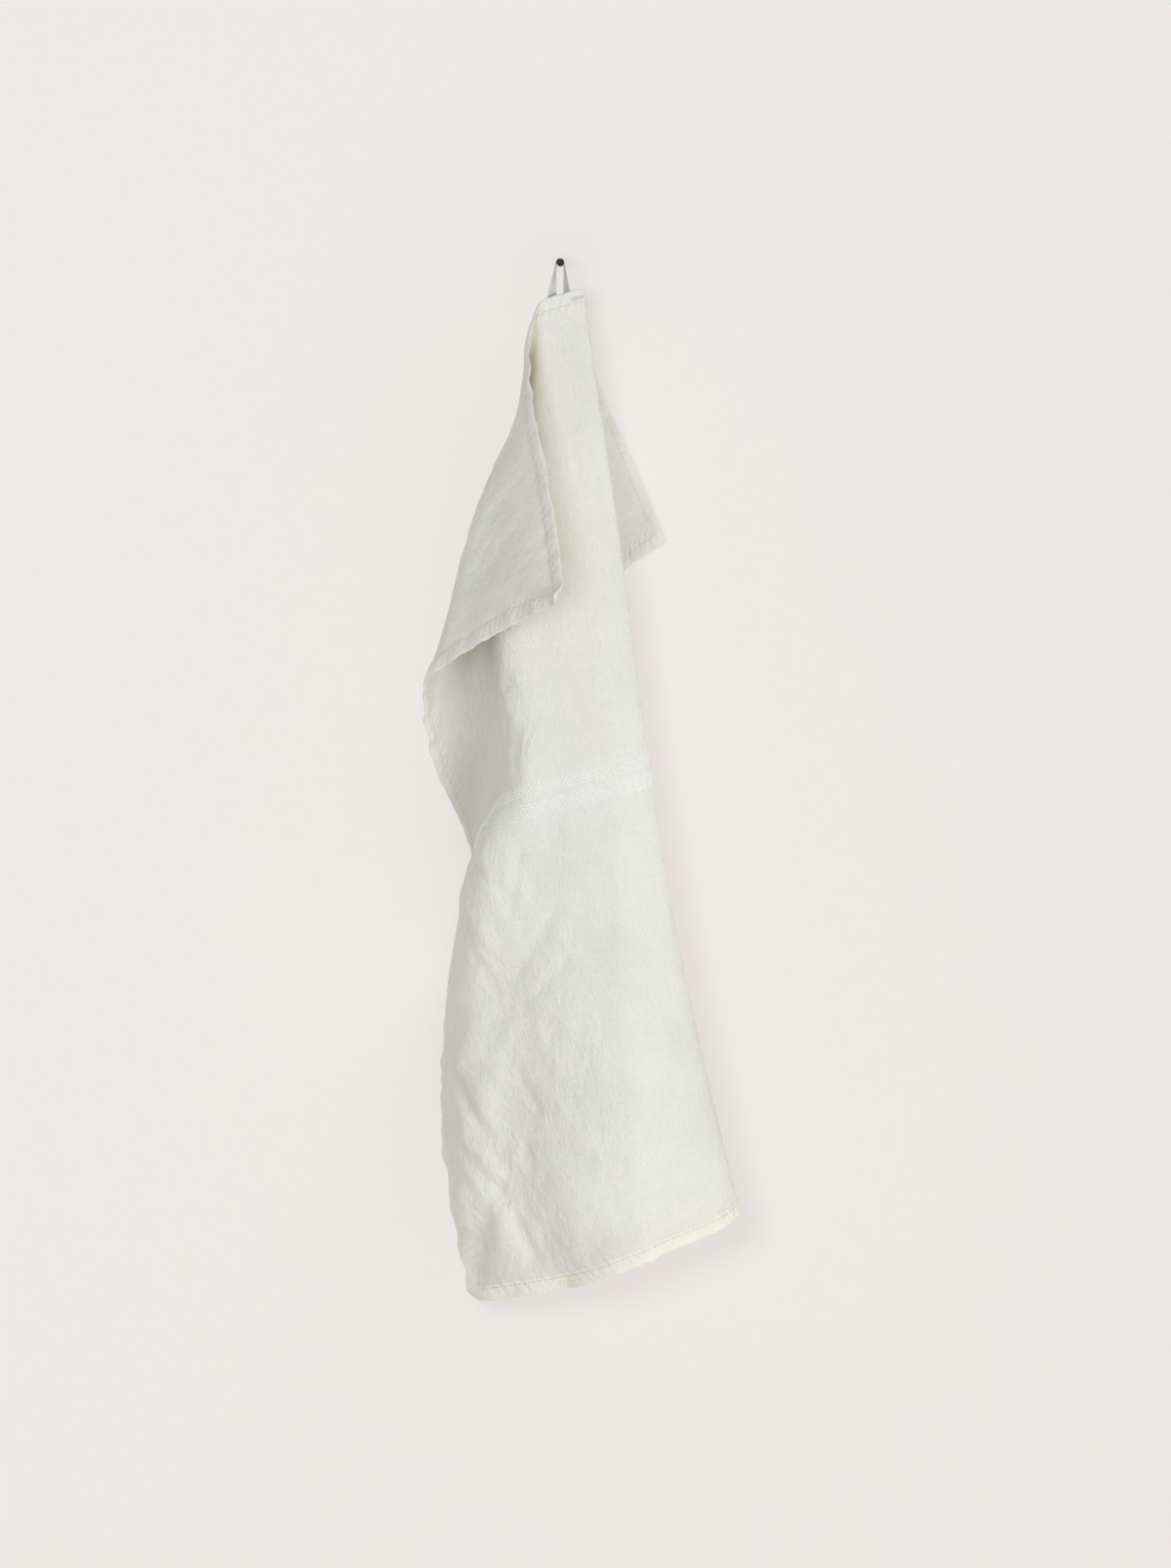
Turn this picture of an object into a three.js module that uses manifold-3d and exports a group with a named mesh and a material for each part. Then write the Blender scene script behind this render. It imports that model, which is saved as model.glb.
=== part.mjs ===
// A linen kitchen towel that hangs by its tape loop on a small black wall peg.
// Millimetres, +Z up. The origin is the middle of the peg's flat back face, and -Y points away from the wall.
import * as THREE from "three";
import { mergeVertices } from "three/addons/utils/BufferGeometryUtils.js";
import Module from "manifold-3d";

const wasm = await Module();
wasm.setup();

// The towel as it is cut and hemmed: half its width, its length, its cloth and its turned hems.
const HALF_WIDTH = 250;
const LENGTH = 700;
const CLOTH_THICKNESS = 1.2;
const HEM_THICKNESS = 2.0;
const HEM_WIDTH = 11;

// The peg: a round shaft with a collar at the wall, and a blunt tip that is turned up a little.
const PEG_LENGTH = 90;
const SHAFT_RADIUS = 2.1;
const COLLAR_RADIUS = 2.6;
const COLLAR_LENGTH = 5;
const COLLAR_BEVEL = 0.3;
const TIP_LENGTH = 4.8;
const TIP_WIDTH = 5.7;
const TIP_HEIGHT = 5.0;
const TIP_RISE = 0.85;
const TIP_ROUNDING = 1.0;
const ROUND_SIDES = 32;

// The loop: a flat tape, and the clear space that it keeps to the peg.
const TAPE_WIDTH = 8;
const TAPE_THICKNESS = 1.0;
const CLEARANCE = 0.35;
const TAPE_STEPS = 72;

// The front panel hangs flat, turned in its own plane and leaning away from the wall.
const PANEL_SWING = 15.5;
const PANEL_LEAN = -7;

// The middle of the top hem, below the place where the loop sits on the peg.
const LOOP_DEPTH = -80;
const HEM_MIDDLE = new THREE.Vector3(-0.7, LOOP_DEPTH, -22.6);

// The cloth folds down on each side of the loop from these two places along the top hem.
const LEFT_START = -14;
const RIGHT_START = 20;
// The turn at which each fan of folds runs on into the flat panel.
const PANEL_TURN = -12;

// Both fans have a table of folds for each of these distances from the fan's start.
const DISTANCES = [25, 60, 150, 250, 340, 430, 700];

// A row for each fold. turn: the fold's angle in the flat cloth, from straight down the towel, in degrees.
// swing: its angle to the right of plumb as hung. lean: its angle towards the wall. soft: the rounding, in mm.
// reach: the share of its length that is left where the cloth is drawn up in small ripples.
const row = (name, turn, swing, lean, soft, reach = 1) => ({ name, turn, swing, lean, soft, reach });
const FIELDS = ["turn", "swing", "lean", "soft", "reach"];
const LEFT_FOLDS = [
  [
    row("top hem", -90, -16, -26, 6),
    row("flap middle", -74, -21, -13, 8),
    row("left fold", -55, -18, -1, 6),
    row("valley at the left", -44, -15, 4, 4),
    row("valley at the right", -35, -9, 3, 4),
    row("ridge", -22, -5.5, -5, 5),
    row("panel", PANEL_TURN, 3.5, PANEL_LEAN, 1),
  ],
  [
    row("top hem", -90, -7, -30, 8),
    row("flap middle", -74, -13, -19, 14),
    row("left fold", -55, -11.6, 1, 8),
    row("valley at the left", -44, -11.5, 10, 5),
    row("valley at the right", -35, -5.5, 8, 5),
    row("ridge", -22, -5, -6, 8),
    row("panel", PANEL_TURN, 3.5, PANEL_LEAN, 1),
  ],
  [
    row("top hem", -90, 2.5, -25, 10),
    row("flap middle", -74, -8, -17, 30),
    row("left fold", -55, -16.6, -4, 11),
    row("valley at the left", -44, -14, 7, 10),
    row("valley at the right", -35, -7.5, 9, 12),
    row("ridge", -22.5, -7, -5, 14),
    row("panel", PANEL_TURN, 3.5, PANEL_LEAN, 2),
  ],
  [
    row("top hem", -90, 4.6, -23, 10),
    row("flap middle", -74, -5.5, -15, 40),
    row("left fold", -55, -17, -5, 14),
    row("valley at the left", -44, -14.5, 5, 20),
    row("valley at the right", -35, -8, 8, 22),
    row("ridge", -22, -6.6, -6, 22),
    row("panel", PANEL_TURN, 3.5, PANEL_LEAN, 4),
  ],
  [
    row("top hem", -90, 4.6, -23, 10),
    row("flap middle", -74, -5.5, -15, 40),
    row("left fold", -55, -17, -5, 14),
    row("valley at the left", -44, -14, 4, 24),
    row("valley at the right", -35, -8.5, 7, 26),
    row("ridge", -18, -2.8, -6.5, 20),
    row("panel", PANEL_TURN, 3.5, PANEL_LEAN, 4),
  ],
  [
    row("top hem", -90, 4.6, -23, 10),
    row("flap middle", -74, -5.5, -15, 40),
    row("left fold", -55, -16, -5, 14),
    row("valley at the left", -44, -13, 4, 24),
    row("valley at the right", -35, -6.1, 6, 30),
    row("ridge", -22.7, -7.9, -6, 24),
    row("panel", PANEL_TURN, 3.5, PANEL_LEAN, 4),
  ],
  [
    row("top hem", -90, 4.6, -23, 10),
    row("flap middle", -74, -5.5, -15, 40),
    row("left fold", -55, -15, -5, 14),
    row("valley at the left", -40, -12, 4, 30),
    row("valley at the right", -29, -7.5, 2, 30, 0.98),
    row("ridge", -20.5, -6.2, -6.4, 26),
    row("panel", PANEL_TURN, 3.5, PANEL_LEAN, 4),
  ],
];
const RIGHT_FOLDS = [
  [
    row("panel", PANEL_TURN, 3.5, PANEL_LEAN, 1),
    row("right fold", -7.6, 8.5, -7, 3),
    row("pleat at the left", 12, -3, 5, 4),
    row("pleat at the right", 30, 7, 15, 4),
    row("rear fold", 55, -6, 27, 5),
    row("rear hem", 90, 2, 40, 5, 0.8),
  ],
  [
    row("panel", PANEL_TURN, 3.5, PANEL_LEAN, 1),
    row("right fold", -7.6, 8.5, -7, 4),
    row("pleat at the left", 12, -4, 5, 8),
    row("pleat at the right", 30, 8, 16, 8),
    row("rear fold", 55, -8, 28, 10),
    row("rear hem", 90, 2, 40, 8, 0.8),
  ],
  [
    row("panel", PANEL_TURN, 3.5, PANEL_LEAN, 2),
    row("right fold", -7.6, 8.6, -7, 9),
    row("pleat at the left", 11, -3, 2, 12),
    row("pleat at the right", 26, 8, 9, 14),
    row("rear fold", 52, -11, 18, 20),
    row("rear hem", 90, 12.5, 26, 10, 0.88),
  ],
  [
    row("panel", PANEL_TURN, 3.5, PANEL_LEAN, 3),
    row("right fold", -7.4, 8.6, -6.4, 14),
    row("pleat at the left", 10, -3, 1, 16),
    row("pleat at the right", 24, 8, 6, 18),
    row("rear fold", 50, -12, 13, 26),
    row("rear hem", 90, 17, 18, 10, 0.9),
  ],
  [
    row("panel", PANEL_TURN, 3.5, PANEL_LEAN, 3),
    row("right fold", -7.4, 8.6, -5.9, 18),
    row("pleat at the left", 9, -2.5, 0, 20),
    row("pleat at the right", 20, 7, 5, 20),
    row("rear fold", 43, -11, 11, 30),
    row("rear hem", 90, 17, 18, 10, 0.9),
  ],
  [
    row("panel", PANEL_TURN, 3.5, PANEL_LEAN, 4),
    row("right fold", -7.4, 8.8, -5.5, 22),
    row("pleat at the left", 8, -2, -0.5, 24),
    row("pleat at the right", 17, 6, 4, 24),
    row("rear fold", 36, -10, 9, 40),
    row("rear hem", 90, 17, 18, 10, 0.9),
  ],
  [
    row("panel", PANEL_TURN, 3.5, PANEL_LEAN, 4),
    row("right fold", -4.4, 12.6, -4.9, 70, 0.96),
    row("pleat at the left", 7, 0.5, 0, 30, 0.985),
    row("pleat at the right", 10, 4, 2, 24),
    row("rear fold", 20, -5, 5, 30),
    row("rear hem", 90, 17, 18, 10, 0.9),
  ],
];

// The cloth's own stiffness rounds every fold over this radius.
const STIFFNESS = 5;

// Soft ridges, and troughs where the height is below 0, between two places of the flat towel.
const ridge = (from, to, height, width) => ({ from, to, height, width });
const RIDGES = [
  ridge([-70, 140], [-100, 660], 5, 60),
  ridge([-104, 215], [-118, 350], 3, 15),
  ridge([-150, 400], [-176, 450], 3, 16),
  ridge([-168, 470], [-186, 590], -4, 18),
  ridge([-206, 520], [-222, 640], 4, 16),
  ridge([-196, 620], [-190, 690], -4, 14),
  ridge([-160, 640], [-150, 700], 3, 22),
  ridge([-110, 650], [-104, 700], -3, 24),
  ridge([-150, 20], [-215, 120], 3, 24),
  ridge([-120, 70], [-190, 160], -3, 22),
  ridge([120, 420], [170, 690], 4, 30),
  ridge([190, 300], [215, 690], -5, 26),
  ridge([150, 30], [215, 90], 3, 24),
];

// The left border of the panel is set back towards the wall, by a height that fades into the panel.
const SET_BACK = [ridge([-278, 460], [-278, 730], 72, 92), ridge([-264, 440], [-264, 730], 13, 26)];

// The lower left corner is turned back: how far in from the corner it bends, and how tightly and how far.
const CURL_START = 10;
const CURL_RADIUS = 5;
const CURL_ANGLE = 75;

// Places across and down the cloth, closer together near the loop than near the far edges.
const COLUMNS = 40;
const ROWS = 44;
const COLUMN_CROWDING = 0.3;
const ROW_CROWDING = 0.5;

const radians = (degrees) => (degrees * Math.PI) / 180;
const degrees = (radian) => (radian * 180) / Math.PI;
const mix = (a, b, t) => a + (b - a) * t;

// A direction that hangs down, swung to the right and then leant towards the wall.
function hangingDirection({ swing, lean }) {
  const s = radians(swing);
  const l = radians(lean);
  return new THREE.Vector3(Math.sin(s), Math.cos(s) * Math.sin(l), -Math.cos(s) * Math.cos(l));
}

const DOWN_PANEL = hangingDirection({ swing: PANEL_SWING, lean: PANEL_LEAN });
const ACROSS_PANEL = hangingDirection({ swing: PANEL_SWING + 90, lean: PANEL_LEAN });

// A point of the flat front panel, from its place in the flat towel.
function panelPoint(across, down) {
  return HEM_MIDDLE.clone().addScaledVector(ACROSS_PANEL, across).addScaledVector(DOWN_PANEL, down);
}

// Smooth curve through the values that one fold has at the tables' distances.
function alongFold(tables, index, field, distance) {
  const last = DISTANCES.length - 1;
  const value = (k) => tables[k][index][field];
  if (distance <= DISTANCES[0]) return value(0);
  if (distance >= DISTANCES[last]) return value(last);
  const k = DISTANCES.findIndex((_, i) => distance < DISTANCES[i + 1]);
  const step = DISTANCES[k + 1] - DISTANCES[k];
  const t = (distance - DISTANCES[k]) / step;
  const slope = (i) => {
    const before = Math.max(i - 1, 0);
    const after = Math.min(i + 1, last);
    return (value(after) - value(before)) / (DISTANCES[after] - DISTANCES[before]);
  };
  const rise = t * t * (3 - 2 * t);
  const leaving = t * (1 - t) * (1 - t) * step * slope(k);
  const arriving = t * t * (1 - t) * step * slope(k + 1);
  return mix(value(k), value(k + 1), rise) + leaving - arriving;
}

// Swing, lean and reach at one turn of a fan: straight from fold to fold, and rounded at each fold.
function hangAt(tables, turn, distance) {
  const folds = tables[0].map((_, index) =>
    Object.fromEntries(FIELDS.map((field) => [field, alongFold(tables, index, field, distance)])),
  );
  const last = folds.length - 1;
  const straight = (k, at) => {
    const t = (at - folds[k].turn) / (folds[k + 1].turn - folds[k].turn);
    const field = (name) => mix(folds[k][name], folds[k + 1][name], t);
    return { swing: field("swing"), lean: field("lean"), reach: field("reach") };
  };
  for (let k = 1; k < last; k++) {
    const before = (folds[k].turn - folds[k - 1].turn) / (k === 1 ? 1 : 2);
    const after = (folds[k + 1].turn - folds[k].turn) / (k === last - 1 ? 1 : 2);
    const room = Math.min(before, after);
    const half = Math.min(degrees(folds[k].soft / Math.max(distance, STIFFNESS)), room);
    const t = (turn - folds[k].turn + half) / (2 * half);
    if (t <= 0 || t >= 1) continue;
    const from = straight(k - 1, folds[k].turn - half);
    const to = straight(k, folds[k].turn + half);
    const round = (field) =>
      mix(mix(from[field], folds[k][field], t), mix(folds[k][field], to[field], t), t);
    return { swing: round("swing"), lean: round("lean"), reach: round("reach") };
  }
  const k = folds.findIndex((_, i) => i === last - 1 || turn < folds[i + 1].turn);
  return straight(k, turn);
}

// A point of the fan that starts at one place of the top hem.
function fanPoint(start, tables, across, down) {
  const distance = Math.hypot(across - start, down);
  const turn = degrees(Math.atan2(across - start, down));
  const hang = hangAt(tables, turn, distance);
  return panelPoint(start, 0).addScaledVector(hangingDirection(hang), distance * hang.reach);
}

// Where a place of the flat towel hangs, with sharp folds near the loop.
function foldedPoint(across, down) {
  const side = (start) =>
    (across - start) * Math.cos(radians(PANEL_TURN)) - down * Math.sin(radians(PANEL_TURN));
  if (side(LEFT_START) < 0) return fanPoint(LEFT_START, LEFT_FOLDS, across, down);
  if (side(RIGHT_START) > 0) return fanPoint(RIGHT_START, RIGHT_FOLDS, across, down);
  return panelPoint(across, down);
}

// Where a place of the flat towel hangs, rounded by the cloth's stiffness and with its border set back.
function roundedPoint(across, down) {
  const sum = foldedPoint(across, down).multiplyScalar(2);
  const around = 8;
  for (let k = 0; k < around; k++) {
    const angle = (k / around) * 2 * Math.PI;
    sum.add(foldedPoint(across + STIFFNESS * Math.cos(angle), down + STIFFNESS * Math.sin(angle)));
  }
  const point = sum.divideScalar(around + 2);
  point.y += relief(SET_BACK, across, down);
  return point;
}

// The direction that the right side of a surface faces at a place of the flat towel.
function facing(surface, across, down) {
  const step = 3;
  const acrossWay = surface(across + step, down).sub(surface(across - step, down));
  const downWay = surface(across, down + step).sub(surface(across, down - step));
  return downWay.cross(acrossWay).normalize();
}

// How far soft ridges and troughs lift a place of the flat towel.
function relief(ridges, across, down) {
  let lift = 0;
  for (const { from, to, height, width } of ridges) {
    const run = [to[0] - from[0], to[1] - from[1]];
    const length = Math.hypot(...run);
    const along = ((across - from[0]) * run[0] + (down - from[1]) * run[1]) / length;
    const aside = ((across - from[0]) * run[1] - (down - from[1]) * run[0]) / length;
    const past = Math.max(-along, along - length, 0);
    lift += height * Math.exp(-((Math.hypot(aside, past) / width) ** 2));
  }
  return lift;
}

// How far the turned-back corner draws a place in along the corner's diagonal, and how far it takes it back.
function curl(across, down) {
  const past = CURL_START - (across + HALF_WIDTH + LENGTH - down) / Math.SQRT2;
  if (past <= 0) return { drawnIn: 0, takenBack: 0 };
  const bend = Math.min(past / CURL_RADIUS, radians(CURL_ANGLE));
  const straight = past - bend * CURL_RADIUS;
  return {
    drawnIn: past - CURL_RADIUS * Math.sin(bend) - straight * Math.cos(bend),
    takenBack: CURL_RADIUS * (1 - Math.cos(bend)) + straight * Math.sin(bend),
  };
}

// Where a place of the flat towel hangs, with its ridges and troughs and its turned-back corner.
function clothPoint(across, down) {
  const { drawnIn, takenBack } = curl(across, down);
  const shift = drawnIn / Math.SQRT2;
  const out = facing(roundedPoint, across + shift, down - shift);
  const lift = relief(RIDGES, across + shift, down - shift) - takenBack;
  return roundedPoint(across + shift, down - shift).addScaledVector(out, lift);
}

function isInHem(across, down) {
  const slack = 0.01;
  return Math.min(HALF_WIDTH - Math.abs(across), down, LENGTH - down) <= HEM_WIDTH + slack;
}

// Grid lines from -1 to 1, or from 0 to 1, crowded towards 0, with one more line at the inner edge of each hem.
function columnPlaces() {
  const inner = HALF_WIDTH - HEM_WIDTH;
  const places = [-HALF_WIDTH];
  for (let k = 0; k <= COLUMNS; k++) {
    const t = (2 * k) / COLUMNS - 1;
    places.push(inner * mix(t, t ** 3, COLUMN_CROWDING));
  }
  return [...places, HALF_WIDTH];
}

function rowPlaces() {
  const places = [0];
  for (let k = 0; k <= ROWS; k++) {
    const t = k / ROWS;
    places.push(mix(HEM_WIDTH, LENGTH - HEM_WIDTH, mix(t, t * t, ROW_CROWDING)));
  }
  return [...places, LENGTH];
}

// A closed sheet from a grid of places, each with a point for its front and one for its back.
function sheetGeometry(front, back) {
  const rows = front.length;
  const columns = front[0].length;
  const positions = [...front.flat(), ...back.flat()].flatMap((p) => [p.x, p.y, p.z]);
  const at = (layer, r, c) => layer * rows * columns + r * columns + c;
  const triangles = [];
  for (let r = 0; r < rows - 1; r++) {
    for (let c = 0; c < columns - 1; c++) {
      const falling = front[r][c].distanceTo(front[r + 1][c + 1]);
      const rising = front[r][c + 1].distanceTo(front[r + 1][c]);
      const corners = [
        [r, c],
        [r, c + 1],
        [r + 1, c + 1],
        [r + 1, c],
      ];
      const shift = falling < rising ? 0 : 1;
      const [a, b, d, e] = [0, 1, 2, 3].map((k) => corners[(k + shift) % 4]);
      for (const [p, q, s] of [
        [a, b, d],
        [a, d, e],
      ]) {
        triangles.push(at(0, ...p), at(0, ...s), at(0, ...q));
        triangles.push(at(1, ...p), at(1, ...q), at(1, ...s));
      }
    }
  }
  const rim = [];
  for (let c = 0; c < columns - 1; c++) rim.push([0, c]);
  for (let r = 0; r < rows - 1; r++) rim.push([r, columns - 1]);
  for (let c = columns - 1; c > 0; c--) rim.push([rows - 1, c]);
  for (let r = rows - 1; r > 0; r--) rim.push([r, 0]);
  rim.forEach((p, k) => {
    const q = rim[(k + 1) % rim.length];
    triangles.push(at(0, ...p), at(0, ...q), at(1, ...q));
    triangles.push(at(0, ...p), at(1, ...q), at(1, ...p));
  });
  const geometry = new THREE.BufferGeometry();
  geometry.setAttribute("position", new THREE.Float32BufferAttribute(positions, 3));
  geometry.setIndex(triangles);
  geometry.computeVertexNormals();
  return geometry;
}

// The towel: one cloth, thicker at its hems, which are turned to the wrong side.
function towelGeometry() {
  const front = [];
  const back = [];
  for (const down of rowPlaces()) {
    const frontRow = [];
    const backRow = [];
    for (const across of columnPlaces()) {
      const middle = clothPoint(across, down);
      const out = facing(clothPoint, across, down);
      const behind = (isInHem(across, down) ? HEM_THICKNESS : CLOTH_THICKNESS) - CLOTH_THICKNESS / 2;
      frontRow.push(middle.clone().addScaledVector(out, CLOTH_THICKNESS / 2));
      backRow.push(middle.clone().addScaledVector(out, -behind));
    }
    front.push(frontRow);
    back.push(backRow);
  }
  return sheetGeometry(front, back);
}

const towel = new THREE.Group();
towel.name = "towel_on_a_hook";
const linen = new THREE.MeshStandardMaterial({ color: 0xe6e6e0, roughness: 0.9, metalness: 0 });

// The loop's middle line, from its left end behind the hem, over the peg, to its right end.
// turned: how far the tape is turned to face the front, in degrees.
const LOOP_RADIUS = SHAFT_RADIUS + CLEARANCE + TAPE_THICKNESS / 2;
const place = (x, y, z, turned) => ({ x, y: LOOP_DEPTH + y, z, turned });
const overPeg = (angle) =>
  place(-LOOP_RADIUS * Math.cos(radians(angle)), 0, LOOP_RADIUS * Math.sin(radians(angle)), 0);
const LOOP_PLACES = [
  place(-6.4, 3.0, -33.5, 90),
  place(-6.3, 3.4, -29, 82),
  place(-6.0, 5.2, -24, 54),
  place(-5.2, 3.0, -17, 36),
  place(-4.2, 1.0, -9, 18),
  place(-3.2, 0.1, -3, 8),
  overPeg(15),
  overPeg(55),
  overPeg(90),
  overPeg(125),
  overPeg(165),
  place(3.2, 0.1, -3, -6),
  place(3.9, 0.9, -8, -14),
  place(4.4, 3.2, -14.5, -26),
  place(4.9, 5.7, -20.5, -40),
  place(5.2, 3.9, -26.5, -80),
  place(5.4, 3.1, -31.5, -90),
];

// A closed sweep of the tape's flat section along the loop's middle line.
function loopGeometry() {
  const middles = LOOP_PLACES.map((p) => new THREE.Vector3(p.x, p.y, p.z));
  const line = new THREE.CatmullRomCurve3(middles, false, "centripetal");
  const positions = [];
  const triangles = [];
  for (let k = 0; k <= TAPE_STEPS; k++) {
    const t = k / TAPE_STEPS;
    const middle = line.getPoint(t);
    const along = line.getTangent(t);
    const step = t * (LOOP_PLACES.length - 1);
    const index = Math.min(Math.floor(step), LOOP_PLACES.length - 2);
    const turned = radians(mix(LOOP_PLACES[index].turned, LOOP_PLACES[index + 1].turned, step - index));
    const wide = new THREE.Vector3(Math.sin(turned), Math.cos(turned), 0);
    wide.addScaledVector(along, -wide.dot(along)).normalize().multiplyScalar(TAPE_WIDTH / 2);
    const thick = new THREE.Vector3().crossVectors(along, wide).normalize().multiplyScalar(TAPE_THICKNESS / 2);
    for (const [a, b] of [
      [1, 1],
      [-1, 1],
      [-1, -1],
      [1, -1],
    ]) {
      const corner = middle.clone().addScaledVector(wide, a).addScaledVector(thick, b);
      positions.push(corner.x, corner.y, corner.z);
    }
    if (k === TAPE_STEPS) continue;
    for (let side = 0; side < 4; side++) {
      const [a, b] = [4 * k + side, 4 * k + ((side + 1) % 4)];
      triangles.push(a, b, b + 4, a, b + 4, a + 4);
    }
  }
  const end = 4 * TAPE_STEPS;
  triangles.push(0, 2, 1, 0, 3, 2, end, end + 1, end + 2, end, end + 2, end + 3);
  const geometry = new THREE.BufferGeometry();
  geometry.setAttribute("position", new THREE.Float32BufferAttribute(positions, 3));
  geometry.setIndex(triangles);
  geometry.computeVertexNormals();
  return geometry;
}

// A closed geometry as a solid that can be joined, with its shared corners merged.
function solidOf(geometry) {
  const plain = geometry.clone();
  plain.deleteAttribute("normal");
  plain.deleteAttribute("uv");
  const merged = mergeVertices(plain);
  return new wasm.Manifold(
    new wasm.Mesh({
      numProp: 3,
      vertProperties: new Float32Array(merged.attributes.position.array),
      triVerts: new Uint32Array(merged.index.array),
    }),
  );
}

// The peg: the shaft and its collar turned round the Y axis, joined to the blunt tip.
function pegGeometry() {
  const profile = [
    [0, 0],
    [COLLAR_RADIUS, 0],
    [COLLAR_RADIUS, COLLAR_LENGTH - COLLAR_BEVEL],
    [COLLAR_RADIUS - COLLAR_BEVEL, COLLAR_LENGTH],
    [SHAFT_RADIUS, COLLAR_LENGTH],
    [SHAFT_RADIUS, PEG_LENGTH - TIP_ROUNDING],
    [0, PEG_LENGTH - TIP_ROUNDING],
  ];
  const shaft = new THREE.LatheGeometry(
    profile.map(([radius, along]) => new THREE.Vector2(radius, along)),
    ROUND_SIDES,
  );
  shaft.rotateX(Math.PI);

  const outline = new THREE.Shape();
  outline.absellipse(0, 0, TIP_WIDTH / 2 - TIP_ROUNDING, TIP_HEIGHT / 2 - TIP_ROUNDING, 0, 2 * Math.PI);
  const tip = new THREE.ExtrudeGeometry(outline, {
    depth: TIP_LENGTH - 2 * TIP_ROUNDING,
    bevelEnabled: true,
    bevelSize: TIP_ROUNDING,
    bevelThickness: TIP_ROUNDING,
    bevelSegments: 4,
    curveSegments: ROUND_SIDES / 2,
  });
  tip.rotateX(Math.PI / 2);
  tip.translate(0, TIP_LENGTH - TIP_ROUNDING - PEG_LENGTH, TIP_RISE);

  const joined = solidOf(shaft).add(solidOf(tip)).getMesh();
  const geometry = new THREE.BufferGeometry();
  geometry.setAttribute("position", new THREE.Float32BufferAttribute(joined.vertProperties, 3));
  geometry.setIndex([...joined.triVerts]);
  geometry.computeVertexNormals();
  return geometry;
}

const cloth = new THREE.Mesh(towelGeometry(), linen);
cloth.name = "towel";
towel.add(cloth);

const tape = new THREE.MeshStandardMaterial({ color: 0xdedfda, roughness: 0.85, metalness: 0 });
const loop = new THREE.Mesh(loopGeometry(), tape);
loop.name = "hanging_loop";
towel.add(loop);

const blackMetal = new THREE.MeshStandardMaterial({ color: 0x151516, roughness: 0.5, metalness: 0.3 });
const peg = new THREE.Mesh(pegGeometry(), blackMetal);
peg.name = "hook";
towel.add(peg);

export default towel;
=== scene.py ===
# %% [markdown]
# # A linen kitchen towel on a wall peg
# This lesson dresses a simple model of a hanging towel until it looks like real linen. The model gives the
# outline and the main folds. Here the cloth is built again as a fine sheet on the same folds, with its hems,
# creases, woven band, stitches and loop of tape.
# The frame is loaded first, and nothing that follows moves or resizes it.

# %% Load the frame
import math

import bpy
import numpy as np
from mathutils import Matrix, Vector


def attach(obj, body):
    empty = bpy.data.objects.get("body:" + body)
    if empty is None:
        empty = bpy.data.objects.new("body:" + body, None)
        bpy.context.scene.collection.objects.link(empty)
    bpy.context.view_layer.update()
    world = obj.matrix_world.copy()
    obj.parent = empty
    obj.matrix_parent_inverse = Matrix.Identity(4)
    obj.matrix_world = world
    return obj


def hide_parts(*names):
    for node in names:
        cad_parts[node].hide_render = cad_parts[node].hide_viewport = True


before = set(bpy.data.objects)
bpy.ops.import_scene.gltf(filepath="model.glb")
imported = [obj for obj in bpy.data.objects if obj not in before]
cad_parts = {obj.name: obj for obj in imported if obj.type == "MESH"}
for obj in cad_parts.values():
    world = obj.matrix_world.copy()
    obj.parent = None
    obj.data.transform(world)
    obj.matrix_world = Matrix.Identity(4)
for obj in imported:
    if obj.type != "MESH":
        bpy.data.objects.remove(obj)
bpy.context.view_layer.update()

MM = 0.001

# %% [markdown]
# ## Camera
# The towel is seen from the front by a long lens that is level with the peg, so the peg's shaft hides behind
# its tip. The lens follows from the height of the picture at the towel.

# %% Camera
PICTURE_HEIGHT = 1.140
CAMERA_DISTANCE = 6.0
SENSOR = 36.0
LOOP_PLANE = -0.080
AIM = Vector((0.0184, LOOP_PLANE, -0.3788))
PEG_LEVEL = 0.002

camera_data = bpy.data.cameras.new("camera")
camera_data.sensor_width = SENSOR
camera_data.lens = SENSOR * CAMERA_DISTANCE / PICTURE_HEIGHT
camera_data.clip_end = 50
camera = bpy.data.objects.new("camera", camera_data)
camera.location = (AIM.x, LOOP_PLANE - CAMERA_DISTANCE, PEG_LEVEL)
camera.rotation_euler = (AIM - camera.location).to_track_quat("-Z", "Y").to_euler()
bpy.context.scene.collection.objects.link(camera)
bpy.context.scene.camera = camera
print("lens in mm:", round(camera_data.lens, 1))

# %% [markdown]
# ## Folds of the cloth
# A towel that hangs from the middle of its top hem falls in folds that all start beside the loop. Each fold
# stays almost straight, because cloth bends easily one way at a time. So the cloth is described by two fans of
# folds, one on each side of the loop, and a flat panel between them.
# A table gives the folds at several distances from the start of the fan. The same numbers made the model, so
# the fine cloth and the model agree.

# %% The towel's sizes and its panel
HALF_WIDTH = 250
LENGTH = 700
HEM_WIDTH = 11
PANEL_SWING = 15.5
PANEL_LEAN = -7
PANEL_TURN = -12
HEM_MIDDLE = np.array((-0.7, -80.0, -22.6))
LEFT_START = -14
RIGHT_START = 20
STIFFNESS = 5
DISTANCES = np.array((25, 60, 150, 250, 340, 430, 700), float)


def hanging_direction(swing, lean):
    """Directions that hang down, swung to the right and then leant towards the wall, in degrees."""
    s, l = np.radians(swing), np.radians(lean)
    return np.stack((np.sin(s), np.cos(s) * np.sin(l), -np.cos(s) * np.cos(l)), axis=-1)


DOWN_PANEL = hanging_direction(PANEL_SWING, PANEL_LEAN)
ACROSS_PANEL = hanging_direction(PANEL_SWING + 90, PANEL_LEAN)


def panel_point(across, down):
    """Points of the flat front panel, in mm, from their places in the flat towel."""
    return HEM_MIDDLE + across[..., None] * ACROSS_PANEL + down[..., None] * DOWN_PANEL


print("the panel runs down along", DOWN_PANEL.round(3))

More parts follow.
